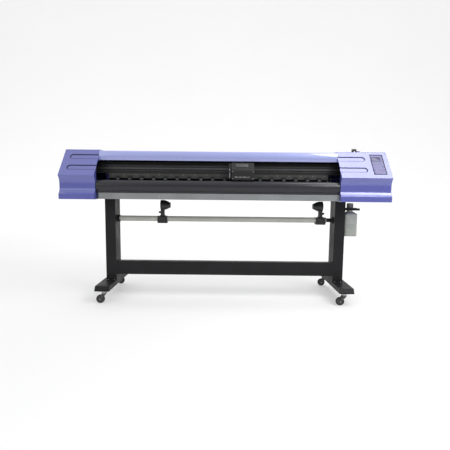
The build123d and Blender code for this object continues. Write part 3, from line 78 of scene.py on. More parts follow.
SLOT_RADIUS = 26 * MM
SLOT_DEPTH = 5 * MM
# width of the dark strips that paint the shade in the slots and round the panel
SHADE_STRIP_WIDTH = 7 * MM
CHAIN_PITCH = 17 * MM
PANEL_X = (1.205, 1.313)
PANEL_Y = (-0.248, -0.027)
# each studio light: its place, the point it faces, its two sides and its power in watts
LIGHTS = {
    "key_right": ((2.35, -2.75, 3.1), (1.15, -0.28, 0.92), (1.5, 1.5), 46),
    "overhead_right": ((2.05, -1.0, 3.3), (1.15, -0.25, 1.1), (1.3, 2.4), 40),
    "fill_left": ((-3.2, -3.4, 2.4), (-0.5, 0, 0.8), (2.4, 2.0), 12),
    "back_wash": ((0.0, 3.5, 3.4), (0, 0, 0.8), (4.0, 1.5), 30),
}


# ---- colour and material helpers
def colour(red, green, blue):
    """A display colour of 0 to 255 values as the linear values that shaders take."""
    linear = []
    for value in (red, green, blue):
        share = value / 255
        linear.append(share / 12.92 if share <= 0.04045 else ((share + 0.055) / 1.055) ** 2.4)
    return (*linear, 1.0)


def scaled(base, factor):
    """A lighter or darker version of a colour."""
    return (*[min(1.0, channel * factor) for channel in base[:3]], 1.0)


class Finish:
    """A procedural material, built up from a Principled shader by noise, wear and bump layers."""

    def __init__(self, name, base, rough, metal=0.0):
        self.material = bpy.data.materials.new(name)
        self.material.use_nodes = True
        self.nodes = self.material.node_tree.nodes
        self.links = self.material.node_tree.links
        self.shader = self.nodes["Principled BSDF"]
        self.base = base
        self.colour_out = None
        self.normal_out = None
        self.shader.inputs["Base Color"].default_value = base
        self.shader.inputs["Roughness"].default_value = rough
        self.shader.inputs["Metallic"].default_value = metal
        self.rough = rough
        self.places = self.nodes.new("ShaderNodeTexCoord").outputs["Object"]

    def set(self, **values):
        """Constant values, straight on the shader's sockets; an underscore stands for a space."""
        for name, value in values.items():
            self.shader.inputs[name.replace("_", " ")].default_value = value
        return self

    def noise(self, scale, detail=3.0, stretch=(1, 1, 1)):
        """A noise pattern of that many grains to the metre, stretched along an axis for brushing."""
        mapping = self.nodes.new("ShaderNodeMapping")
        mapping.inputs["Scale"].default_value = stretch
        self.links.new(self.places, mapping.inputs["Vector"])
        texture = self.nodes.new("ShaderNodeTexNoise")
        texture.inputs["Scale"].default_value = scale
        texture.inputs["Detail"].default_value = detail
        self.links.new(mapping.outputs["Vector"], texture.inputs["Vector"])
        return texture.outputs["Fac"]

    def cells(self, scale):
        """A cell pattern, for grit and pebbled plastic."""
        texture = self.nodes.new("ShaderNodeTexVoronoi")
        texture.inputs["Scale"].default_value = scale
        self.links.new(self.places, texture.inputs["Vector"])
        return texture.outputs["Distance"]

    def remap(self, value, low, high, to_low, to_high):
        """A value's band stretched to another band and clamped."""
        node = self.nodes.new("ShaderNodeMapRange")
        for name, number in (("From Min", low), ("From Max", high), ("To Min", to_low), ("To Max", to_high)):
            node.inputs[name].default_value = number
        self.links.new(value, node.inputs["Value"])
        return node.outputs["Result"]

    def tint(self, mask, other):
        """Mixes another colour in where the mask is high."""
        mix = self.nodes.new("ShaderNodeMix")
        mix.data_type = "RGBA"
        mix.inputs["A"].default_value = self.base
        mix.inputs["B"].default_value = other
        if self.colour_out:
            self.links.new(self.colour_out, mix.inputs["A"])
        self.links.new(mask, mix.inputs["Factor"])
        self.colour_out = mix.outputs["Result"]
        self.links.new(self.colour_out, self.shader.inputs["Base Color"])
        return self

    def mottle(self, scale, amount, detail=3.0, stretch=(1, 1, 1)):
        """Slow colour change over the surface."""
        mask = self.remap(self.noise(scale, detail, stretch), 0.35, 0.7, 0.0, 1.0)
        return self.tint(mask, scaled(self.base, 1.0 - amount))

    def uneven(self, scale, spread, stretch=(1, 1, 1)):
        """Roughness that varies about its value."""
        value = self.remap(self.noise(scale, 4.0, stretch), 0.3, 0.7, max(0.02, self.rough - spread),
                           min(1.0, self.rough + spread))
        self.links.new(value, self.shader.inputs["Roughness"])
        return self

    def bump(self, height, strength, distance):
        """Adds a layer of relief to the normal."""
        node = self.nodes.new("ShaderNodeBump")
        node.inputs["Strength"].default_value = strength
        node.inputs["Distance"].default_value = distance
        self.links.new(height, node.inputs["Height"])
        if self.normal_out:
            self.links.new(self.normal_out, node.inputs["Normal"])
        self.normal_out = node.outputs["Normal"]
        self.links.new(self.normal_out, self.shader.inputs["Normal"])
        return self

    def edges(self, radius, other, strength=0.5):
        """Rounds sharp edges to the eye and tints them another colour: lighter tints stand for the wear of
        handling and moulding, and darker tints (on the covers) are painted shade along the edges.
        """
        bevel = self.nodes.new("ShaderNodeBevel")
        bevel.samples = 4
        bevel.inputs["Radius"].default_value = radius
        plain = self.nodes.new("ShaderNodeNewGeometry").outputs["Normal"]
        dot = self.nodes.new("ShaderNodeVectorMath")
        dot.operation = "DOT_PRODUCT"
        self.links.new(bevel.outputs["Normal"], dot.inputs[0])
        self.links.new(plain, dot.inputs[1])
        mask = self.remap(dot.outputs["Value"], 0.995, 0.86, 0.0, strength)
        self.tint(mask, other)
        self.normal_out = bevel.outputs["Normal"]
        self.links.new(self.normal_out, self.shader.inputs["Normal"])
        return self


def moulded(name, base, rough, grain=900, relief=0.05, gloss=0.0):
    """Moulded plastic: fine pebble grain, slow colour change, softened edges."""
    finish = Finish(name, base, rough)
    finish.edges(0.0012, scaled(base, 1.35), 0.35)
    finish.mottle(2.2, 0.07)
    finish.uneven(14, 0.05)
    finish.bump(finish.cells(grain), relief, 0.0002)
    return finish.set(Coat_Weight=gloss, Coat_Roughness=0.18).material


def pearled(name, base, rough):
    """Pearl paint on the moulded covers: part metallic under a clear coat, with a fine flake, and edges darkened
    as painted shade.
    """
    finish = Finish(name, base, rough, metal=0.15)
    # painted shade: edges tinted to a third of the base, standing in for the shade along the covers' edges and
    # return faces
    finish.edges(0.0016, scaled(base, 0.35), 0.6)
    finish.mottle(1.6, 0.08)
    finish.uneven(11, 0.05)
    finish.tint(finish.remap(finish.cells(2600), 0.25, 0.6, 0.0, 0.18), scaled(base, 1.5))
    finish.bump(finish.noise(260, 2.0), 0.05, 0.0003)
    return finish.set(Coat_Weight=1.0, Coat_Roughness=0.07, Coat_IOR=1.7).material


def coated(name, base, rough, wear=0.35, shine=0.5):
    """Powder-coated steel: orange-peel relief, worn lighter edges."""
    finish = Finish(name, base, rough)
    finish.edges(0.0015, scaled(base, 2.6), wear)
    finish.mottle(4.5, 0.18)
    finish.uneven(9, 0.08)
    finish.bump(finish.noise(420, 2.0), 0.10, 0.0004)
    return finish.set(Specular_IOR_Level=shine).material


def satin(name, base, rough):
    """Smooth satin paint on the curved apron, with a soft sheen along it."""
    finish = Finish(name, base, rough)
    finish.edges(0.0012, scaled(base, 2.2), 0.3)
    finish.mottle(1.8, 0.12)
    finish.uneven(7, 0.04)
    finish.bump(finish.noise(300, 2.0), 0.03, 0.0002)
    return finish.material


def brushed(name, base, rough, along=(1, 60, 60)):
    """Brushed or ground metal, with its lines along one axis."""
    finish = Finish(name, base, rough, metal=1.0)
    finish.mottle(6, 0.12)
    finish.tint(finish.remap(finish.noise(12, 6.0, along), 0.4, 0.8, 0.0, 0.5), scaled(base, 0.7))
    finish.uneven(10, 0.10, along)
    finish.bump(finish.noise(16, 5.0, along), 0.12, 0.0002)
    return finish.material


def rubbery(name, base, rough=0.8):
    """Rubber: dull, speckled with dust, with a fine grain."""
    finish = Finish(name, base, rough)
    finish.edges(0.0008, scaled(base, 1.8), 0.3)
    finish.mottle(40, 0.3)
    finish.tint(finish.remap(finish.noise(160, 5.0), 0.62, 0.8, 0.0, 0.25), colour(120, 118, 112))
    finish.bump(finish.noise(1500, 2.0), 0.2, 0.0002)
    return finish.material


def gritted(name, base):
    """The feed roller: steel with a bonded grit."""
    finish = Finish(name, base, 0.55, metal=0.9)
    finish.mottle(300, 0.4)
    finish.bump(finish.cells(2200), 0.6, 0.0003)
    return finish.material


def milky(name, base):
    """Translucent bottle plastic, stained darker towards its foot."""
    low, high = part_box("waste_bottle")
    finish = Finish(name, base, 0.38)
    finish.mottle(18, 0.12)
    height = finish.nodes.new("ShaderNodeSeparateXYZ")
    finish.links.new(finish.places, height.inputs["Vector"])
    stain = finish.remap(height.outputs["Z"], low.z, low.z + 0.6 * (high.z - low.z), 0.55, 0.0)
    finish.tint(stain, scaled(base, 0.5))
    finish.bump(finish.noise(90, 2.0), 0.15, 0.0005)
    return finish.set(Transmission_Weight=0.12, Subsurface_Weight=0.15, Coat_Weight=0.2).material


def made(rows):
    """Materials by name. Each row is a maker, a display colour, the maker's other values, and its options."""
    materials = {}
    for name, (maker, tone, *values) in rows.items():
        options = values.pop() if values and isinstance(values[-1], dict) else {}
        materials[name] = maker(name, colour(*tone), *values, **options)
    return materials


COVER_BLUE = (82, 88, 166)
NEAR_BLACK = (30, 30, 34)
MATERIALS = made({
    "cover_plastic": (pearled, COVER_BLUE, 0.32),
    "black_paint": (coated, (31, 31, 33), 0.5, {"shine": 0.2}),
    "grey_paint": (coated, (134, 137, 138), 0.42, 0.2),
    "inner_paint": (coated, (26, 26, 29), 0.5),
    "apron_paint": (satin, (30, 30, 37), 0.22),
    "bed_metal": (brushed, (70, 70, 73), 0.5),
    "steel": (brushed, (196, 196, 198), 0.3),
    "zinc_steel": (brushed, (170, 170, 172), 0.4, (8, 8, 8)),
    "castor_rubber": (rubbery, (46, 46, 48)),
    "grit_roller": (gritted, (140, 140, 142)),
    "pinch_rubber": (rubbery, (96, 98, 98)),
    "pale_strip": (coated, (66, 67, 64), 0.45, 0.15),
    "dark_plastic": (moulded, NEAR_BLACK, 0.5, {"relief": 0.12}),
    "carriage_plastic": (moulded, (13, 13, 15), 0.55, {"relief": 0.1}),
    "frame_alloy": (brushed, (96, 97, 100), 0.45),
    "knife_steel": (brushed, (200, 200, 204), 0.22, (60, 60, 1)),
    "belt_rubber": (rubbery, (28, 28, 28)),
    "chain_plastic": (moulded, (30, 30, 30), 0.45),
    "motor_paint": (coated, (48, 48, 52), 0.4),
    "panel_film": (moulded, (92, 88, 140), 0.34, {"grain": 1600, "gloss": 0.25}),
    "key_plastic": (moulded, (128, 126, 172), 0.45),
    "power_key_plastic": (moulded, (120, 140, 190), 0.4),
    "tank_plastic": (moulded, (214, 214, 218), 0.4, {"gloss": 0.2}),
    "box_steel": (coated, (150, 152, 156), 0.45),
    "switch_plastic": (moulded, (24, 24, 24), 0.25, {"gloss": 0.4}),
    "bar_alloy": (coated, (184, 184, 177), 0.36, 0.1),
    "holder_plastic": (moulded, (32, 32, 34), 0.42),
    "chuck_plastic": (moulded, (30, 30, 32), 0.4),
    "knob_plastic": (moulded, (28, 28, 30), 0.42, {"relief": 0.2}),
    "bottle_plastic": (milky, (204, 202, 195)),
    "cap_plastic": (moulded, (132, 130, 123), 0.45),
    "tray_plastic": (moulded, (70, 70, 76), 0.5),
})
EXTRA = made({
    # painted light: a lighter copy of the cover paint, standing in for the stronger light on the top cover's
    # fascia
    "fascia_blue": (pearled, (153, 161, 216), 0.32),
    "mark_white": (moulded, (120, 121, 124), 0.5),
    "glass_dark": (moulded, (66, 64, 104), 0.14, {"relief": 0.0, "gloss": 0.3}),
    "lamp_green": (moulded, (90, 190, 120), 0.3, {"gloss": 0.4}),
    "plate_grey": (coated, (72, 73, 76), 0.45, 0.1),
    "fork_dark": (coated, (58, 58, 60), 0.35, 0.4),
    # painted shade: the rail's steel darkened for the shade under the top cover's overhang
    "rail_dull": (brushed, (96, 96, 98), 0.5),
    # painted highlight: lighter than the beam's inner paint, for the light catching the beam's lips
    "lip_dull": (coated, (62, 62, 64), 0.45),
    "hub_plastic": (moulded, (64, 64, 66), 0.45, {"gloss": 0.2}),
})
# nodes that look a little different from the rest of their slot: the top cover's lighter paint is painted light,
# and the linear rail's darker steel is painted shade
NODE_FINISH = {"linear_rail": EXTRA["rail_dull"], "top_cover": EXTRA["fascia_blue"]}
NODE_FINISH.update({f"castor_fork_{corner}": EXTRA["fork_dark"] for corner in CORNERS})


def dress_frame():
    """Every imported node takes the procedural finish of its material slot."""
    slots = {entry["node"]: entry["material_slot"] for entry in frame["record"]["subparts"]}
    for node, obj in frame["nodes"].items():
        material = NODE_FINISH.get(node) or MATERIALS[slots[node]]
        for index in range(len(obj.material_slots)):
            obj.material_slots[index].material = material
        if not obj.material_slots:
            obj.data.materials.append(material)


# ---- mesh helpers
def add_piece(name, verts, faces, body, slot, material=None):
    """A new mesh piece, smooth over gentle angles, that rides on a body."""
    mesh = bpy.data.meshes.new(name)
    mesh.from_pydata([tuple(vert) for vert in verts], [], faces)
    work = bmesh.new()
    work.from_mesh(mesh)
    bmesh.ops.remove_doubles(work, verts=work.verts, dist=1e-7)
    bmesh.ops.recalc_face_normals(work, faces=work.faces)
    work.to_mesh(mesh)
    work.free()
    for polygon in mesh.polygons:
        polygon.use_smooth = True
    mesh.set_sharp_from_angle(angle=SMOOTH_ANGLE)
    mesh.materials.append(material or MATERIALS[slot])
    obj = bpy.data.objects.new(name, mesh)
    bpy.context.scene.collection.objects.link(obj)
    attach(obj, body)
    return obj


class Shape:
    """Vertices and faces gathered from several simple forms, for one piece."""

    def __init__(self):
        self.verts = []
        self.faces = []

    def merge(self, verts, faces, place=None):
        """Adds a form, moved into place first."""
        start = len(self.verts)
        for vert in verts:
            self.verts.append(place @ Vector(vert) if place is not None else Vector(vert))
        self.faces += [tuple(index + start for index in face) for face in faces]
        return self

    def block(self, low, high, radius, steps=2):
        """Adds a rounded box between two corners."""
        return self.merge(*between(low, high, radius, steps))

    def piece(self, name, body, slot, material=None):
        """Turns what was gathered into a piece."""
        return add_piece(name, self.verts, self.faces, body, slot, material)


def soft_block(size, radius, steps=2):
    """A box about the origin with rounded edges, as vertices and faces."""
    work = bmesh.new()
    bmesh.ops.create_cube(work, size=1.0)
    bmesh.ops.scale(work, vec=Vector(size), verts=work.verts)
    offset = min(radius, 0.49 * min(size))
    bmesh.ops.bevel(work, geom=work.edges[:], offset=offset, segments=steps, profile=0.5, affect="EDGES")
    work.verts.index_update()
    verts = [vert.co.copy() for vert in work.verts]
    faces = [tuple(vert.index for vert in face.verts) for face in work.faces]
    work.free()
    return verts, faces


def between(low, high, radius, steps=2):
    """A rounded box between two corners."""
    low, high = Vector(low), Vector(high)
    verts, faces = soft_block(high - low, radius, steps)
    middle = (low + high) / 2
    return [vert + middle for vert in verts], faces


def turned(profile, count=48, closed=False, ripple=None):
    """A turned form about +Z from (height, radius, ripple share) rows; ripple changes the radius by angle."""
    verts, faces = [], []
    for row in profile:
        height, radius = row[0], row[1]
        share = row[2] if len(row) > 2 else 0.0
        for step in range(count):
            angle = 2 * math.pi * step / count
            reach = radius + (share * ripple(angle) if ripple else 0.0)
            verts.append(Vector((reach * math.cos(angle), reach * math.sin(angle), height)))
    last = len(profile) if closed else len(profile) - 1
    for ring in range(last):
        start, other = ring * count, (ring + 1) % len(profile) * count
        for step in range(count):
            after = (step + 1) % count
            faces.append((start + step, start + after, other + after, other + step))
    if not closed:
        faces.append(tuple(reversed(range(count))))
        faces.append(tuple(range((len(profile) - 1) * count, len(profile) * count)))
    return verts, faces


def stand(origin, direction):
    """Places a form's +Z along a direction, at an origin."""
    return Matrix.Translation(Vector(origin)) @ Vector(direction).to_track_quat("Z", "Y").to_matrix().to_4x4()


def screw_head(radius):
    """A button-head screw with a socket, its underside on the XY plane."""
    height = 0.55 * radius
    profile = [(0, radius), (0.35 * height, radius), (0.8 * height, 0.82 * radius), (height, 0.55 * radius),
               (height, 0.42 * radius), (0.35 * height, 0.38 * radius)]
    return turned(profile, 18)


def screws(name, body, slot, places, radius=3.5 * MM):
    """One piece of several screws, each at (point, outward direction)."""
    shape = Shape()
    for point, direction in places:
        shape.merge(*screw_head(radius), stand(point, direction))
    return shape.piece(name, body, slot)


def joint_named(name):
    """A joint's entry in the frame."""
    return next(joint for joint in frame["joints"] if joint["name"] == name)


def middle_of(node):
    """The middle of a node's box."""
    low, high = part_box(node)
    return (low + high) / 2


# ---- castors
def make_castors():
    """Detailed wheels, axle nuts and the swivels' dust rings."""
    for corner in CORNERS:
        low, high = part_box(f"castor_wheel_{corner}")
        centre = (low + high) / 2
        radius = (high.z - low.z) / 2
        half = (high.y - low.y) / 2
        rim = 0.7 * radius
        tread = []
        steps = 14
        for step in range(steps + 1):
            turn = math.pi * (step / steps - 0.5)
            along = 0.92 * half * math.copysign(abs(math.sin(turn)) ** 0.75, turn)
            reach = rim + (radius - rim) * max(0.0, math.cos(turn)) ** 0.4
            groove = 0.7 * MM if abs(abs(along) - 0.45 * half) < 0.09 * half else 0.0
            tread.append((along, reach - groove))
        tread = [(-0.92 * half, rim - 0.5 * MM)] + tread + [(0.92 * half, rim - 0.5 * MM)]
        place = stand(centre, (0, 1, 0))
        tyre = Shape().merge(*turned(tread, 64, closed=True), place)
        tyre = tyre.piece(f"tyre_{corner}", f"wheel_{corner}", "castor_rubber")
        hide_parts(f"castor_wheel_{corner}")
        bore = 4.2 * MM
        hub = [(-half, bore), (-half, 0.2 * radius), (-0.8 * half, 0.26 * radius),
               (-0.5 * half, 0.3 * radius), (-0.45 * half, 0.55 * radius), (-0.8 * half, 0.6 * radius),
               (-0.9 * half, 0.64 * radius), (-0.9 * half, rim)]
        hub += [(-along, reach) for along, reach in reversed(hub)]
        Shape().merge(*turned(hub, 48, closed=True), place).piece(
            f"hub_{corner}", f"wheel_{corner}", "castor_rubber", EXTRA["hub_plastic"])
        fork_low, fork_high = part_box(f"castor_fork_{corner}")
        nuts = Shape()
        for end, face in ((-1, fork_low.y), (1, fork_high.y)):
            nut = [(0, 5.2 * MM), (2.2 * MM, 5.2 * MM), (2.9 * MM, 4.6 * MM), (2.9 * MM, 2.6 * MM),
                   (4.0 * MM, 2.3 * MM)]
            nuts.merge(*turned(nut, 6), stand((centre.x, face, centre.z), (0, end, 0)))
        nuts.piece(f"axle_nuts_{corner}", f"fork_{corner}", "zinc_steel")
        x, y, _ = joint_named(f"castor_swivel_{corner}")["pos_m"]
        crown = 84 * MM
        ring = [(0, 19.2 * MM), (0, 20.4 * MM), (2 * MM, 21.2 * MM), (4.5 * MM, 20.8 * MM),
                (5.4 * MM, 19.2 * MM)]
        Shape().merge(*turned(ring, 40, closed=True), Matrix.Translation((x, y, crown))).piece(
            f"swivel_ring_{corner}", f"fork_{corner}", "zinc_steel")


# ---- stand
def make_stand_details():
    """End caps on the feet, and flanges, cable grommets and hatches on the legs."""
    low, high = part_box("feet")
    leg_low, leg_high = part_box("legs")
    foot_width = 120 * MM
    hatch_z = (0.36, 0.76)
    hatch_screw_z = (0.375, 0.745)
    for side_name, side in SIDES.items():
        outer = high.x if side > 0 else low.x
        middle = outer - side * foot_width / 2
        caps = Shape()
        for end in (-1, 1):
            tip = end * high.y
            shape_low = (middle - foot_width / 2 + 4 * MM, min(tip, tip - end * 2.5 * MM), low.z + 0.6 * MM)
            shape_high = (middle + foot_width / 2 - 4 * MM, max(tip, tip - end * 2.5 * MM), low.z + 7.6 * MM)
            caps.block(shape_low, shape_high, 1.1 * MM)
        caps.piece(f"foot_caps_{side_name}", "machine", "dark_plastic")
        leg_x = side * (leg_high.x - 44 * MM)
        plate = Shape()
        for front, y in ((-1, leg_low.y), (1, leg_high.y)):
            ends = sorted((y, y + front * 16 * MM))
            plate.block((leg_x - 40 * MM, ends[0], high.z),
                        (leg_x + 40 * MM, ends[1], high.z + 4 * MM), 1.5 * MM)
        plate.piece(f"leg_flanges_{side_name}", "machine", "black_paint")
        heads = []
        for y in (leg_low.y - 8 * MM, leg_high.y + 8 * MM):
            for x in (leg_x - 26 * MM, leg_x + 26 * MM):
                heads.append(((x, y, high.z + 4 * MM), (0, 0, 1)))
        screws(f"flange_screws_{side_name}", "machine", "steel", heads, 5 * MM)
        grommet = [(-1 * MM, 14 * MM), (1.6 * MM, 16 * MM), (2.4 * MM, 14.5 * MM), (2.4 * MM, 11 * MM),
                   (0.8 * MM, 10 * MM)]
        Shape().merge(*turned(grommet, 40), stand((leg_x, leg_high.y, 0.8), (0, 1, 0))).piece(
            f"leg_grommet_{side_name}", "machine", "belt_rubber")
        strip_low = (leg_x - 30 * MM, leg_high.y, hatch_z[0])
        strip_high = (leg_x + 30 * MM, leg_high.y + 2 * MM, hatch_z[1])
        Shape().block(strip_low, strip_high, 0.9 * MM).piece(
            f"leg_hatch_{side_name}", "machine", "black_paint")
        screws(f"hatch_screws_{side_name}", "machine", "steel",
               [((leg_x, strip_high[1], z), (0, 1, 0)) for z in hatch_screw_z], 3.2 * MM)


def make_castor_bolts():
    """The four bolts of each castor plate."""
    _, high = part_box("castor_plates")
    hole_x, hole_y = 28 * MM, 24 * MM
    places = []
    for corner in CORNERS:
        x, y, _ = joint_named(f"castor_swivel_{corner}")["pos_m"]
        for dx in (-hole_x, hole_x):
            for dy in (-hole_y, hole_y):
                places.append(((x + dx, y + dy, high.z - 3 * MM), (0, 0, -1)))
    screws("castor_bolts", "machine", "zinc_steel", places, 4 * MM)


# ---- covers
def make_cover_details():
    """Screws, side louvres and a lip along the lower band of each end cover."""
    for side_name, side in SIDES.items():
        low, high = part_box(f"{side_name}_end_cover")
        outer = high.x if side > 0 else low.x
        places = []
        for y, z in ((-0.255, 0.875), (0.205, 0.875), (0.205, 1.225), (-0.1, 1.225), (-0.255, 1.03)):
            places.append(((outer, y, z), (side, 0, 0)))
        screws(f"side_screws_{side_name}", "machine", "steel", places, 4.5 * MM)
        vents = Shape()
        count = 9
        pitch = 15 * MM
        for number in range(count):
            z = 1.03 + number * pitch
            ends = sorted((outer, outer + side * 2.2 * MM))
            vents.block((ends[0], 0.02, z), (ends[1], 0.16, z + 6 * MM), 1.0 * MM)
        vents.piece(f"side_louvres_{side_name}", "machine", "cover_plastic")
        inner = low.x if side > 0 else high.x
        band = Shape()
        front = low.y + 4.5 * MM
        band_ends = sorted((inner + side * 6 * MM, outer - side * 6 * MM))
        band.block((band_ends[0], front - 0.4 * MM, low.z + 1.5 * MM),
                   (band_ends[1], front + 0.8 * MM, low.z + 4.0 * MM), 0.3 * MM)
        band.piece(f"band_lip_{side_name}", "machine", "cover_plastic")
        back = [((inner + side * 40 * MM, high.y, z), (0, 1, 0)) for z in (0.88, 1.22)]
        back += [((outer - side * 40 * MM, high.y, z), (0, 1, 0)) for z in (0.88, 1.22)]
        screws(f"back_screws_{side_name}", "machine", "steel", back, 4.5 * MM)


def make_top_details():
    """Screws along the top cover, and louvres across the back of it."""
    low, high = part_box("top_cover")
    places = []
    steps = 7
    for number in range(steps):
        x = low.x + 0.06 + (high.x - low.x - 0.12) * number / (steps - 1)
        places.append(((x, high.y - 0.02, high.z), (0, 0, 1)))
    screws("top_screws", "machine", "steel", places, 4 * MM)
    rear_low, rear_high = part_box("rear_cover")
    face = high.y - 2.5 * MM
    vents = Shape()
    groups = 5
    blades = 8
    for group in range(groups):
        centre = rear_low.x + (rear_high.x - rear_low.x) * (group + 0.5) / groups
        for blade in range(blades):
            z = 1.09 + blade * 13 * MM
            vents.block((centre - 0.08, face - 0.5 * MM, z),
                        (centre + 0.08, face + 2.2 * MM, z + 5 * MM), 1.0 * MM)
    vents.piece("rear_louvres", "machine", "inner_paint")


def ribbon(outer, inner, low, high):
    """A flat strip between two open outlines of (x, y) points, with a thickness."""
    count = len(outer)
    verts = [Vector((x, y, z)) for z in (low, high) for line in (outer, inner) for x, y in line]
    faces = []
    for step in range(count - 1):
        a, b, c, d = step, step + 1, count + step + 1, count + step
        faces += [(d, c, b, a), (a + 2 * count, b + 2 * count, c + 2 * count, d + 2 * count)]
        faces += [(a, b, b + 2 * count, a + 2 * count), (c, d, d + 2 * count, c + 2 * count)]
    for end in (0, count - 1):
        faces.append((end, end + count, end + 3 * count, end + 2 * count))
    return verts, faces


def make_slot_shade_strips():
    """A dark strip round the floor of each long slot: painted shade where the slot's walls shade its edges."""
    place = on_slope(Vector(SLOPE_ORIGIN))
    arc_steps = 14
    for side_name, side in SIDES.items():
        low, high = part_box(f"{side_name}_end_cover")
        inner_x = (low.x if side > 0 else high.x) + side * 2 * MM
        arc_x = inner_x - side * 2 * MM + side * (SLOT_LENGTH[side_name] - SLOT_RADIUS)
        thin_strips = Shape()
        for centre in SLOT_CENTRES:
            lines = []
            for radius in (SLOT_RADIUS - 0.1 * MM, SLOT_RADIUS - SHADE_STRIP_WIDTH):
                line = [(inner_x, centre - radius)]
                for step in range(arc_steps + 1):
                    turn = math.pi * (step / arc_steps - 0.5)
                    line.append((arc_x + side * radius * math.cos(turn), centre + radius * math.sin(turn)))
                line.append((inner_x, centre + radius))
                lines.append(line)
            # painted shade: a dark ribbon along the slot's edges
            thin_strips.merge(*ribbon(lines[0], lines[1], -SLOT_DEPTH - 0.1 * MM, 1.2 * MM - SLOT_DEPTH), place)
        thin_strips.piece(f"slot_shade_strips_{side_name}", "machine", "dark_plastic")


# ---- right end: panel and keys
def slope_axes():
    """The panel's outward normal and its up-slope direction, from the way the keys press in."""
    normal = -Vector(joint_named("key_left_press")["axis"]).normalized()
    return normal, normal.cross(Vector((1, 0, 0))).normalized()


def on_slope(point):
    """A placement with its own X along the machine, Y up the slope and Z out of the panel."""
    normal, up = slope_axes()
    turn = Matrix((Vector((1, 0, 0)), up, normal)).transposed().to_4x4()
    return Matrix.Translation(point) @ turn


def make_panel_details():
    """A bezel and window over the display, a dark strip round the panel as painted shade of the recess edge,
    lamps, and a raised sign on each key.
    """
    normal, up = slope_axes()
    panel = frame["nodes"]["control_panel"].data.vertices
    top = max(vert.co.dot(normal) for vert in panel)
    face = [vert.co for vert in panel if vert.co.dot(normal) > top - 0.1 * MM]
    xs = [point.x for point in face]
    ups = [point.dot(up) for point in face]
    centre = Vector(((min(xs) + max(xs)) / 2, 0, 0)) + up * ((min(ups) + max(ups)) / 2) + normal * top
    width, height = max(xs) - min(xs), max(ups) - min(ups)
    place = on_slope(centre)
    bezel = Shape()
    border = 3.5 * MM
    for sign in (-1, 1):
        bezel.merge(*soft_block((width, border, 1.6 * MM), 0.6 * MM),
                    place @ Matrix.Translation((0, sign * (height - border) / 2, 0.8 * MM)))
        bezel.merge(*soft_block((border, height - 2 * border, 1.6 * MM), 0.6 * MM),
                    place @ Matrix.Translation((sign * (width - border) / 2, 0, 0.8 * MM)))
    bezel.piece("display_bezel", "machine", "panel_film")
    # painted shade: a dark ribbon round the panel recess, standing in for the shade at its edges
    shade_strip = Shape()
    slope = on_slope(Vector(SLOPE_ORIGIN))
    outer = [(PANEL_X[0], PANEL_Y[0]), (PANEL_X[1], PANEL_Y[0]), (PANEL_X[1], PANEL_Y[1]),
             (PANEL_X[0], PANEL_Y[1]), (PANEL_X[0], PANEL_Y[0])]
    middle_x, middle_y = sum(PANEL_X) / 2, sum(PANEL_Y) / 2
    inner = [(x - math.copysign(SHADE_STRIP_WIDTH, x - middle_x), y - math.copysign(SHADE_STRIP_WIDTH, y - middle_y))
             for x, y in outer]
    shade_strip.merge(*ribbon(outer, inner, -1.1 * MM, 0.3 * MM), slope)
    shade_strip.piece("panel_shade_strip", "machine", "dark_plastic")
    Shape().merge(*soft_block((width - 2 * border, height - 2 * border, 0.8 * MM), 0.3 * MM),
                  place @ Matrix.Translation((0, 0, 0.4 * MM))).piece(
        "display_window", "machine", "dark_plastic", EXTRA["glass_dark"])
    signs = {
        "key_left": [(-3.2, 0), (1.8, 3.2), (1.8, -3.2)],
        "key_right": [(3.2, 0), (-1.8, -3.2), (-1.8, 3.2)],
        "key_enter": [(-3, -1), (-3, 1), (3, 1), (3, -1)],
        "key_power": [(3.2 * math.cos(turn), 3.2 * math.sin(turn)) for turn in
                      [2 * math.pi * step / 20 for step in range(20)]],
    }
    for key, outline in signs.items():
        points = [vert.co for vert in frame["nodes"][key].data.vertices]
        key_top = max(point.dot(normal) for point in points)
        middle = middle_of(key)
        spot = middle + normal * (key_top - middle.dot(normal))
        count = len(outline)
        verts = [Vector((x * MM, y * MM, z)) for z in (-0.05 * MM, 0.25 * MM) for x, y in outline]
        faces = [tuple(range(count, 2 * count)), tuple(reversed(range(count)))]
        for step in range(count):
            after = (step + 1) % count
            faces.append((step, after, count + after, count + step))
        Shape().merge(verts, faces, on_slope(spot)).piece(f"{key}_sign", key, "dark_plastic")
    lamps = Shape()
    for number in range(3):
        lamp = [(0, 2.2 * MM), (0.5 * MM, 2.1 * MM), (1.0 * MM, 1.5 * MM), (1.2 * MM, 0.6 * MM)]
        spot = centre + up * (-height / 2 - 16 * MM) + Vector((1, 0, 0)) * (number - 1) * 12 * MM
        lamps.merge(*turned(lamp, 20), on_slope(spot - normal * 0.85 * MM))
    lamps.piece("status_lamps", "machine", "panel_film", EXTRA["lamp_green"])


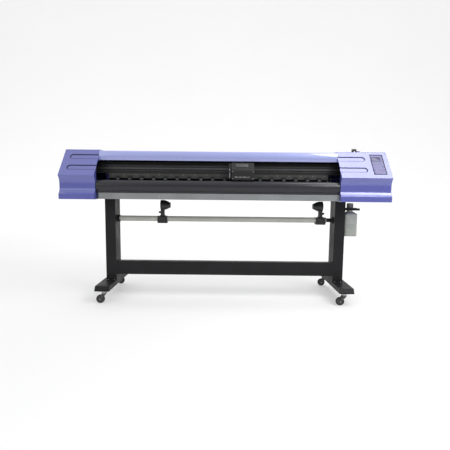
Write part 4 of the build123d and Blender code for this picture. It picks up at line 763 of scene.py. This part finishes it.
# ---- carriage
def make_carriage_details():
    """The grey plate, plain marks, ribs and screws on the carriage cover."""
    low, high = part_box("carriage_cover")
    x = (low.x + high.x) / 2 - 8 * MM
    lean = math.atan2(56, 66)
    place = Matrix.Translation((x, low.y + 34 * MM, high.z - 24 * MM)) @ Matrix.Rotation(-lean, 4, "X")
    plate = Shape().merge(*soft_block((104 * MM, 2.4 * MM, 34 * MM), 0.9 * MM), place)
    plate.piece("carriage_plate", "carriage", "carriage_plastic", EXTRA["plate_grey"])
    marks = Shape()
    widths = (22, 9, 16, 6, 24, 12, 8)
    start = x - 60 * MM
    for number, width in enumerate(widths):
        z = low.z + 22 * MM
        marks.block((start, low.y - 0.5 * MM, z - 4.5 * MM),
                    (start + width * MM, low.y + 0.3 * MM, z + 4.5 * MM - (number % 2) * 3 * MM), 0.25 * MM)
        start += (width + 4) * MM
    marks.piece("carriage_marks", "carriage", "carriage_plastic", EXTRA["mark_white"])
    thin_strips = Shape()
    for z in (low.z + 44 * MM, low.z + 48 * MM):
        thin_strips.block((low.x + 4 * MM, low.y - 0.6 * MM, z),
                   (high.x - 4 * MM, low.y + 0.4 * MM, z + 1.2 * MM), 0.4 * MM)
    thin_strips.piece("carriage_ribs", "carriage", "carriage_plastic")
    places = [((px, low.y, z), (0, -1, 0)) for px in (low.x + 9 * MM, high.x - 9 * MM)
              for z in (low.z + 9 * MM, low.z + 66 * MM)]
    screws("carriage_screws", "carriage", "steel", places, 3 * MM)


def chain_links(name, spots):
    """A run of cable-chain links at (point, direction) spots, as one piece baked in place."""
    low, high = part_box("cable_chain")
    width = high.y - low.y
    shape = Shape()
    for point, angle in spots:
        place = Matrix.Translation(point) @ Matrix.Rotation(-angle, 4, "Y")
        for side in (-1, 1):
            plate = Matrix.Translation((0, side * (width / 2 - 1.3 * MM), 0))
            shape.merge(*soft_block((CHAIN_PITCH, 2.4 * MM, 13 * MM), 1.1 * MM), place @ plate)
            pin = turned([(0, 3 * MM), (0.8 * MM, 2.8 * MM), (1.1 * MM, 1.6 * MM)], 14)
            pin_place = Matrix.Translation((CHAIN_PITCH / 2, side * (width / 2 - 0.3 * MM), 0))
            turn = Matrix.Rotation(-side * math.pi / 2, 4, "X")
            shape.merge(*pin, place @ pin_place @ turn)
        for level in (-1, 1):
            bar = Matrix.Translation((0, 0, level * 5.6 * MM))
            shape.merge(*soft_block((8 * MM, width - 4 * MM, 1.8 * MM), 0.7 * MM), place @ bar)
    piece = shape.piece(name, "machine", "chain_plastic")
    piece.parent = None
    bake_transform(piece)
    return piece


def make_cable_chain():
    """The cable chain in two halves, met at its bend."""
    low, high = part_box("cable_chain")
    y = (low.y + high.y) / 2
    thick = 14 * MM
    lower, upper = low.z + thick / 2, high.z - thick / 2
    radius = (upper - lower) / 2
    bend_x = high.x - thick / 2 - radius
    fixed_x = low.x + thick / 2
    carried_x = middle_of("carriage_frame").x
    lower_spots, upper_spots = [], []
    x = fixed_x
    while x < bend_x:
        lower_spots.append((Vector((x, y, lower)), 0.0))
        x += CHAIN_PITCH
    bend_steps = 4
    for step in range(bend_steps):
        turn = math.pi * (step + 0.5) / bend_steps
        point = Vector((bend_x + radius * math.sin(turn), y, lower + radius * (1 - math.cos(turn))))
        (lower_spots if step < bend_steps / 2 else upper_spots).append((point, turn))
    x = bend_x
    end_x = carried_x + 12 * MM
    while x > end_x:
        upper_spots.append((Vector((x, y, upper)), math.pi))
        x -= CHAIN_PITCH
    lower_piece = chain_links("chain_lower", lower_spots)
    chain_links("chain_upper", upper_spots)
    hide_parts("cable_chain")


# ---- inside the front opening
def make_opening_details():
    """Lighter strips over the lips beside the rail as painted highlight, a measuring scale on the bed and screws
    along the pinch bar.
    """
    beam_low, beam_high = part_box("guide_beam")
    rail_low, rail_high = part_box("linear_rail")
    # painted highlight: thin lighter strips over the beam's two lips
    lips = Shape()
    for z in (rail_high.z + 9.3 * MM, rail_low.z - 15.7 * MM):
        lips.block((beam_low.x + 0.24, rail_low.y + 5.2 * MM, z),
                   (beam_high.x - 0.36, rail_low.y + 6.4 * MM, z + 5.4 * MM), 0.4 * MM)
    lips.piece("beam_lips", "machine", "inner_paint", EXTRA["lip_dull"])
    low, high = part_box("platen")
    scale = Shape()
    count = 76
    for number in range(count):
        x = low.x + 0.025 + number * 25 * MM
        if x > high.x - 0.01:
            break
        depth = (7 if number % 4 == 0 else 4) * MM
        scale.block((x - 0.4 * MM, low.y + 3 * MM, high.z - 0.1 * MM),
                    (x + 0.4 * MM, low.y + 3 * MM + depth, high.z + 0.15 * MM), 0.1 * MM, 1)
    scale.piece("bed_scale", "machine", "pale_strip", EXTRA["mark_white"])
    strip_low, strip_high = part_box("pinch_bar")
    places = []
    steps = 19
    for number in range(steps):
        x = strip_low.x + 0.03 + (strip_high.x - strip_low.x - 0.06) * number / (steps - 1)
        places.append(((x, strip_low.y, strip_high.z - 11 * MM), (0, -1, 0)))
    screws("strip_screws", "machine", "steel", places, 3 * MM)


# ---- front rail, apron
def make_front_details():
    """The grey rail's screws, the apron's bead and a dark strip between the two, painted shade under the apron's
    lip.
    """
    low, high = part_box("front_rail")
    places = []
    for x in (low.x + 0.02, low.x + 0.5, 0.0, high.x - 0.5, high.x - 0.02):
        places.append(((x, low.y, 0.8815), (0, -1, 0)))
    screws("rail_screws", "machine", "steel", places, 4 * MM)
    apron_low, apron_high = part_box("front_apron")
    bead = Shape()
    bead.block((apron_low.x + 2 * MM, apron_low.y - 0.2 * MM, 0.9635), (apron_high.x - 2 * MM,
               apron_low.y + 1.2 * MM, 0.9665), 0.6 * MM)
    bead.piece("apron_bead", "machine", "apron_paint")
    # painted shade: a black strip for the dark band of shade under the apron
    shade_strip = Shape()
    shade_strip.block((apron_low.x + 2 * MM, low.y + 1.0 * MM, high.z + 0.3 * MM),
               (apron_high.x - 2 * MM, low.y + 4.5 * MM, high.z + 13.5 * MM), 1.0 * MM)
    shade_strip.piece("apron_shade_strip", "machine", "belt_rubber")


# ---- roll support
def make_roll_details():
    """Black saddle plates, winged clamp screws, and fins and a nut on each chuck."""
    for side_name, side in SIDES.items():
        inward = -side
        low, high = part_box(f"roll_holder_{side_name}")
        middle = (low + high) / 2
        body = f"holder_{side_name}"
        plate = Shape()
        plate.block((low.x + 1 * MM, middle.y - 30 * MM, low.z - 3 * MM),
                    (high.x - 1 * MM, middle.y + 30 * MM, low.z + 1 * MM), 1.2 * MM)
        for face in (-1, 1):
            ends = sorted((middle.y + face * 31.8 * MM, middle.y + face * 34 * MM))
            plate.block((low.x + 3 * MM, ends[0], low.z - 1 * MM),
                        (high.x - 3 * MM, ends[1], low.z + 26 * MM), 0.9 * MM)
        plate.piece(f"saddle_shoe_{side_name}", body, "knob_plastic")
        knob_low, knob_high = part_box(f"clamp_knob_{side_name}")
        centre = (knob_low + knob_high) / 2
        outer = knob_low.x if side < 0 else knob_high.x
        inner = knob_high.x if side < 0 else knob_low.x
        wing = (knob_high.z - knob_low.z) / 2
        length = abs(outer - inner)
        screw = 10 * MM
        core = 9.6 * MM
        profile = [(0, 3.9 * MM), (screw, 3.9 * MM), (screw, core, 0.2),
                   (screw + 1.2 * MM, core + 0.4 * MM, 0.7),
                   (screw + 4 * MM, core, 1.0), (length - 3 * MM, core - 1.5 * MM, 0.95),
                   (length - 0.8 * MM, core - 2.5 * MM, 0.7), (length, core - 4 * MM, 0.4)]
        reach = wing - core
        knob = Shape().merge(*turned(profile, 60, ripple=lambda turn: reach * abs(math.cos(turn)) ** 5),
                             stand((inner, centre.y, centre.z), (side, 0, 0)))
        knob = knob.piece(f"wing_screw_{side_name}", f"knob_{side_name}", "knob_plastic")
        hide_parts(f"clamp_knob_{side_name}")
        chuck_low, chuck_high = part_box(f"core_chuck_{side_name}")
        axis = (chuck_low + chuck_high) / 2
        face_x = middle.x + inward * 16 * MM
        fins = Shape()
        count = 8
        for number in range(count):
            turn = Matrix.Rotation(2 * math.pi * number / count, 4, "X")
            fin = Matrix.Translation((inward * 22 * MM, 0, 33 * MM)) @ Matrix.Rotation(inward * 0.40, 4, "Y")
            place = Matrix.Translation((face_x, axis.y, axis.z)) @ turn @ fin
            fins.merge(*soft_block((30 * MM, 3 * MM, 6 * MM), 1.2 * MM), place)
        fins.piece(f"chuck_fins_{side_name}", f"chuck_{side_name}", "chuck_plastic")
        nut = [(0, 7.5 * MM), (1.5 * MM, 7.5 * MM), (2.4 * MM, 6.4 * MM), (2.4 * MM, 3 * MM),
               (3.4 * MM, 2.6 * MM)]
        back_x = chuck_low.x if inward > 0 else chuck_high.x
        Shape().merge(*turned(nut, 6), stand((back_x, axis.y, axis.z), (-inward, 0, 0))).piece(
            f"chuck_nut_{side_name}", f"chuck_{side_name}", "steel")


# ---- waste bottle
def make_bottle():
    """The bottle as a softly cornered blown shell with grip ribs and level marks, and its ribbed cap."""
    low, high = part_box("waste_bottle")
    centre = (low + high) / 2
    half_x, half_y = (high.x - low.x) / 2, (high.y - low.y) / 2
    neck = 24 * MM
    shoulder, collar, top = low.z + 0.192, low.z + 0.222, high.z
    wall = 1.8 * MM
    count = 64

    def ring(z, reach_x, reach_y, power):
        points = []
        for step in range(count):
            turn = 2 * math.pi * step / count
            c, s = math.cos(turn), math.sin(turn)
            points.append(Vector((centre.x + reach_x * math.copysign(abs(c) ** (2 / power), c),
                                  centre.y + reach_y * math.copysign(abs(s) ** (2 / power), s), z)))
        return points

    outside = []
    for step in range(7):
        turn = math.pi / 2 * step / 6
        shrink = 8 * MM * (1 - math.sin(turn))
        outside.append((low.z + 8 * MM * (1 - math.cos(turn)), half_x - shrink, half_y - shrink, 6))
    ribs = 4
    for rib in range(ribs):
        z = low.z + 0.05 + rib * 0.022
        for dz, dent in ((0, 0), (3, 0), (5, 1.8), (9, 1.8), (11, 0)):
            outside.append((z + dz * MM, half_x - dent * MM, half_y - dent * MM, 6))
    outside.append((shoulder - 4 * MM, half_x, half_y, 6))
    steps = 8
    for step in range(steps + 1):
        share = step / steps
        ease = share * share * (3 - 2 * share)
        outside.append((shoulder + (collar - shoulder) * share, half_x + (neck - half_x) * ease,
                        half_y + (neck - half_y) * ease, 6 + (2 - 6) * min(1.0, 1.4 * share)))
    outside.append((top, neck, neck, 2))
    inside = [(z + (wall if z < low.z + 10 * MM else 0), x - wall, y - wall, power) for z, x, y, power in
              reversed(outside)]
    rows = outside + inside
    verts, faces = [], []
    for row in rows:
        verts += ring(*row)
    for level in range(len(rows) - 1):
        for step in range(count):
            after = (step + 1) % count
            faces.append((level * count + step, level * count + after, (level + 1) * count + after,
                          (level + 1) * count + step))
    faces.append(tuple(reversed(range(count))))
    faces.append(tuple(range((len(rows) - 1) * count, len(rows) * count)))
    bottle = Shape().merge(verts, faces).piece("blown_bottle", "machine", "bottle_plastic")
    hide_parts("waste_bottle")
    marks = Shape()
    for number in range(6):
        z = low.z + 0.045 + number * 0.022 + 15 * MM
        marks.block((high.x - 34 * MM, low.y - 0.3 * MM, z),
                    (high.x - 24 * MM, low.y + 0.5 * MM, z + 1 * MM), 0.3 * MM, 1)
    marks.piece("level_marks", "machine", "bottle_plastic", EXTRA["hub_plastic"])
    cap_low, cap_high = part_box("bottle_cap")
    height = cap_high.z - cap_low.z
    flange, side, bore = 31 * MM, 27.4 * MM, 24.3 * MM
    profile = [(height - 6 * MM, 2 * MM), (height - 6 * MM, bore), (0, bore), (0, flange - 0.8 * MM),
               (0.8 * MM, flange), (5.2 * MM, flange), (6 * MM, flange - 1 * MM),
               (6.6 * MM, side + 0.2 * MM, 0.2), (9 * MM, side, 1.0),
               (height - 6 * MM, side - 0.3 * MM, 1.0), (height - 2.5 * MM, side - 0.8 * MM, 0.3),
               (height - 0.8 * MM, side - 2.4 * MM), (height, side - 5 * MM), (height, 17 * MM),
               (height - 1.2 * MM, 16 * MM), (height - 1.2 * MM, 1 * MM)]
    place = Matrix.Translation((centre.x, centre.y, cap_low.z))
    cap = Shape().merge(*turned(profile, 160, ripple=lambda turn: 0.6 * MM * math.cos(40 * turn)), place)
    cap = cap.piece("ribbed_cap", "bottle_cap", "cap_plastic")
    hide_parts("bottle_cap")
    bracket_low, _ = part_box("bottle_bracket")
    places = [((bracket_low.x + 4 * MM, y, z), (1, 0, 0)) for y in (-0.05, 0.0) for z in (0.756, 0.797)]
    screws("bracket_screws", "machine", "steel", places, 4 * MM)


# ---- inner machinery
def make_machinery_details():
    """Cooling fins on the carriage motor, filler caps on the tanks and louvres on the electronics box."""
    low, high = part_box("carriage_motor")
    motor_sides = ((-1, -1.274), (1, -1.206))
    fins = Shape()
    count = 9
    pitch = 5.5 * MM
    for number in range(count):
        z = high.z - 8 * MM - number * pitch
        for side, x in motor_sides:
            ends = sorted((x, x + side * 2 * MM))
            fins.block((ends[0], low.y + 8 * MM, z),
                       (ends[1], high.y - 8 * MM, z + 2.4 * MM), 0.6 * MM)
    fins.piece("motor_fins", "machine", "motor_paint")
    tank_low, tank_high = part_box("ink_tanks")
    caps = Shape()
    count = 4
    for number in range(count):
        x = tank_low.x + 20 * MM + number * 44 * MM
        profile = [(0, 14.2 * MM, 1), (3 * MM, 14.8 * MM, 1), (11 * MM, 14.6 * MM, 1), (13 * MM, 13 * MM, 0),
                   (14.6 * MM, 11 * MM, 0)]
        caps.merge(*turned(profile, 72, ripple=lambda turn: 0.4 * MM * math.cos(18 * turn)),
                   Matrix.Translation((x, (tank_low.y + tank_high.y) / 2, tank_high.z - 14 * MM)))
    caps.piece("tank_caps", "machine", "knob_plastic")
    box_low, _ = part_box("control_box")
    vents = Shape()
    for number in range(10):
        x = box_low.x + 0.03 + number * 15 * MM
        vents.block((x, box_low.y + 0.02, 1.0195), (x + 6 * MM, box_low.y + 0.11, 1.0215), 0.8 * MM)
    vents.piece("box_louvres", "machine", "box_steel")


def make_lever_details():
    """A dark grip sleeve with finger rings over the lever's crossbar."""
    _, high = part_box("lift_lever")
    centre_y = high.y - 15 * MM
    centre_z = high.z - 15 * MM
    rings = Shape()
    for number in range(5):
        x = high.x - 64 * MM + number * 6 * MM
        ring = [(0, 14.8 * MM), (0.5 * MM, 15.4 * MM), (2.0 * MM, 15.4 * MM), (2.5 * MM, 14.8 * MM)]
        rings.merge(*turned(ring, 40, closed=True), stand((x, centre_y, centre_z), (1, 0, 0)))
    rings.piece("grip_rings", "lift_lever", "knob_plastic")
    sleeve = [(0, 14.0 * MM), (0.8 * MM, 15.1 * MM), (38.2 * MM, 15.1 * MM), (39 * MM, 14.0 * MM)]
    place = stand((high.x - 71 * MM, centre_y, centre_z), (1, 0, 0))
    Shape().merge(*turned([(-0.3 * MM, 10.2 * MM)] + sleeve + [(39.3 * MM, 10.2 * MM)], 48), place).piece(
        "grip_sleeve", "lift_lever", "knob_plastic")


# ---- stage
def make_stage():
    """A plain pale floor that curves up far behind."""
    depth = 9.0
    rise = 9.0
    bend = 2.0
    half = 9.0
    front = -7.0
    glow_start = 1.0
    rows = [(front, 0.0), (depth - bend, 0.0)]
    steps = 12
    for step in range(1, steps + 1):
        turn = math.pi / 2 * step / steps
        rows.append((depth - bend + bend * math.sin(turn), bend * (1 - math.cos(turn))))
    rows.append((depth, rise))
    mesh = bpy.data.meshes.new("studio_floor")
    verts = [(x, y, z) for y, z in rows for x in (-half, half)]
    faces = [(2 * row, 2 * row + 1, 2 * row + 3, 2 * row + 2) for row in range(len(rows) - 1)]
    mesh.from_pydata(verts, [], faces)
    for polygon in mesh.polygons:
        polygon.use_smooth = True
    pale = Finish("studio_pale", colour(204, 204, 204), 0.8)
    pale.mottle(0.6, 0.02)
    pale.set(Emission_Color=(1.0, 1.0, 1.0, 1.0))
    place = pale.nodes.new("ShaderNodeSeparateXYZ")
    pale.links.new(pale.places, place.inputs["Vector"])
    glow = pale.remap(place.outputs["Y"], glow_start, depth - bend, FLOOR_GLOW, WALL_GLOW)
    pale.links.new(glow, pale.shader.inputs["Emission Strength"])
    mesh.materials.append(pale.material)
    floor = bpy.data.objects.new("studio_floor", mesh)
    bpy.context.scene.collection.objects.link(floor)


def add_light(name, place, target, size, power):
    """A soft rectangular light that faces a point."""
    data = bpy.data.lights.new(name, "AREA")
    data.shape = "RECTANGLE"
    data.size, data.size_y = size
    data.energy = power
    light = bpy.data.objects.new(name, data)
    light.location = place
    light.rotation_euler = (Vector(target) - Vector(place)).to_track_quat("-Z", "Y").to_euler()
    bpy.context.scene.collection.objects.link(light)


def make_lights():
    """Soft studio light, strongest from the upper right, with pale air behind it wherever the floor ends."""
    world = bpy.data.worlds.new("studio_air")
    bpy.context.scene.world = world
    world.use_nodes = True
    nodes, links = world.node_tree.nodes, world.node_tree.links
    height = nodes.new("ShaderNodeSeparateXYZ")
    links.new(nodes.new("ShaderNodeTexCoord").outputs["Generated"], height.inputs["Vector"])
    sky = nodes.new("ShaderNodeMapRange")
    sky.inputs["From Min"].default_value = SKY_BAND[0]
    sky.inputs["From Max"].default_value = SKY_BAND[1]
    sky.inputs["To Min"].default_value = HORIZON_LIGHT
    sky.inputs["To Max"].default_value = OVERHEAD_LIGHT
    links.new(height.outputs["Z"], sky.inputs["Value"])
    seen = nodes.new("ShaderNodeMix")
    seen.data_type = "RGBA"
    seen.inputs["B"].default_value = SEEN_AIR
    links.new(nodes.new("ShaderNodeLightPath").outputs["Is Camera Ray"], seen.inputs["Factor"])
    links.new(sky.outputs["Result"], seen.inputs["A"])
    links.new(seen.outputs["Result"], nodes["Background"].inputs["Color"])
    for name, setting in LIGHTS.items():
        add_light(name, *setting)


def make_camera():
    """The camera at the front, a little above the covers' noses and looking slightly down."""
    data = bpy.data.cameras.new("camera")
    data.lens = CAMERA_LENS
    data.sensor_width = CAMERA_SENSOR
    data.clip_end = CAMERA_REACH
    camera = bpy.data.objects.new("camera", data)
    camera.location = (0.0, -CAMERA_DISTANCE, CAMERA_HEIGHT)
    tilt = Matrix.Rotation(math.radians(90 - CAMERA_PITCH), 4, "X")
    roll = Matrix.Rotation(math.radians(CAMERA_ROLL), 4, "Z")
    camera.rotation_euler = (tilt @ roll).to_euler()
    bpy.context.scene.collection.objects.link(camera)
    bpy.context.scene.camera = camera
    bpy.context.scene.view_settings.view_transform = "Standard"


make_camera()
dress_frame()
make_castors()
make_stand_details()
make_castor_bolts()
make_cover_details()
make_slot_shade_strips()
make_top_details()
make_panel_details()
make_carriage_details()
make_cable_chain()
make_opening_details()
make_front_details()
make_roll_details()
make_bottle()
make_machinery_details()
make_lever_details()
make_stage()
make_lights()
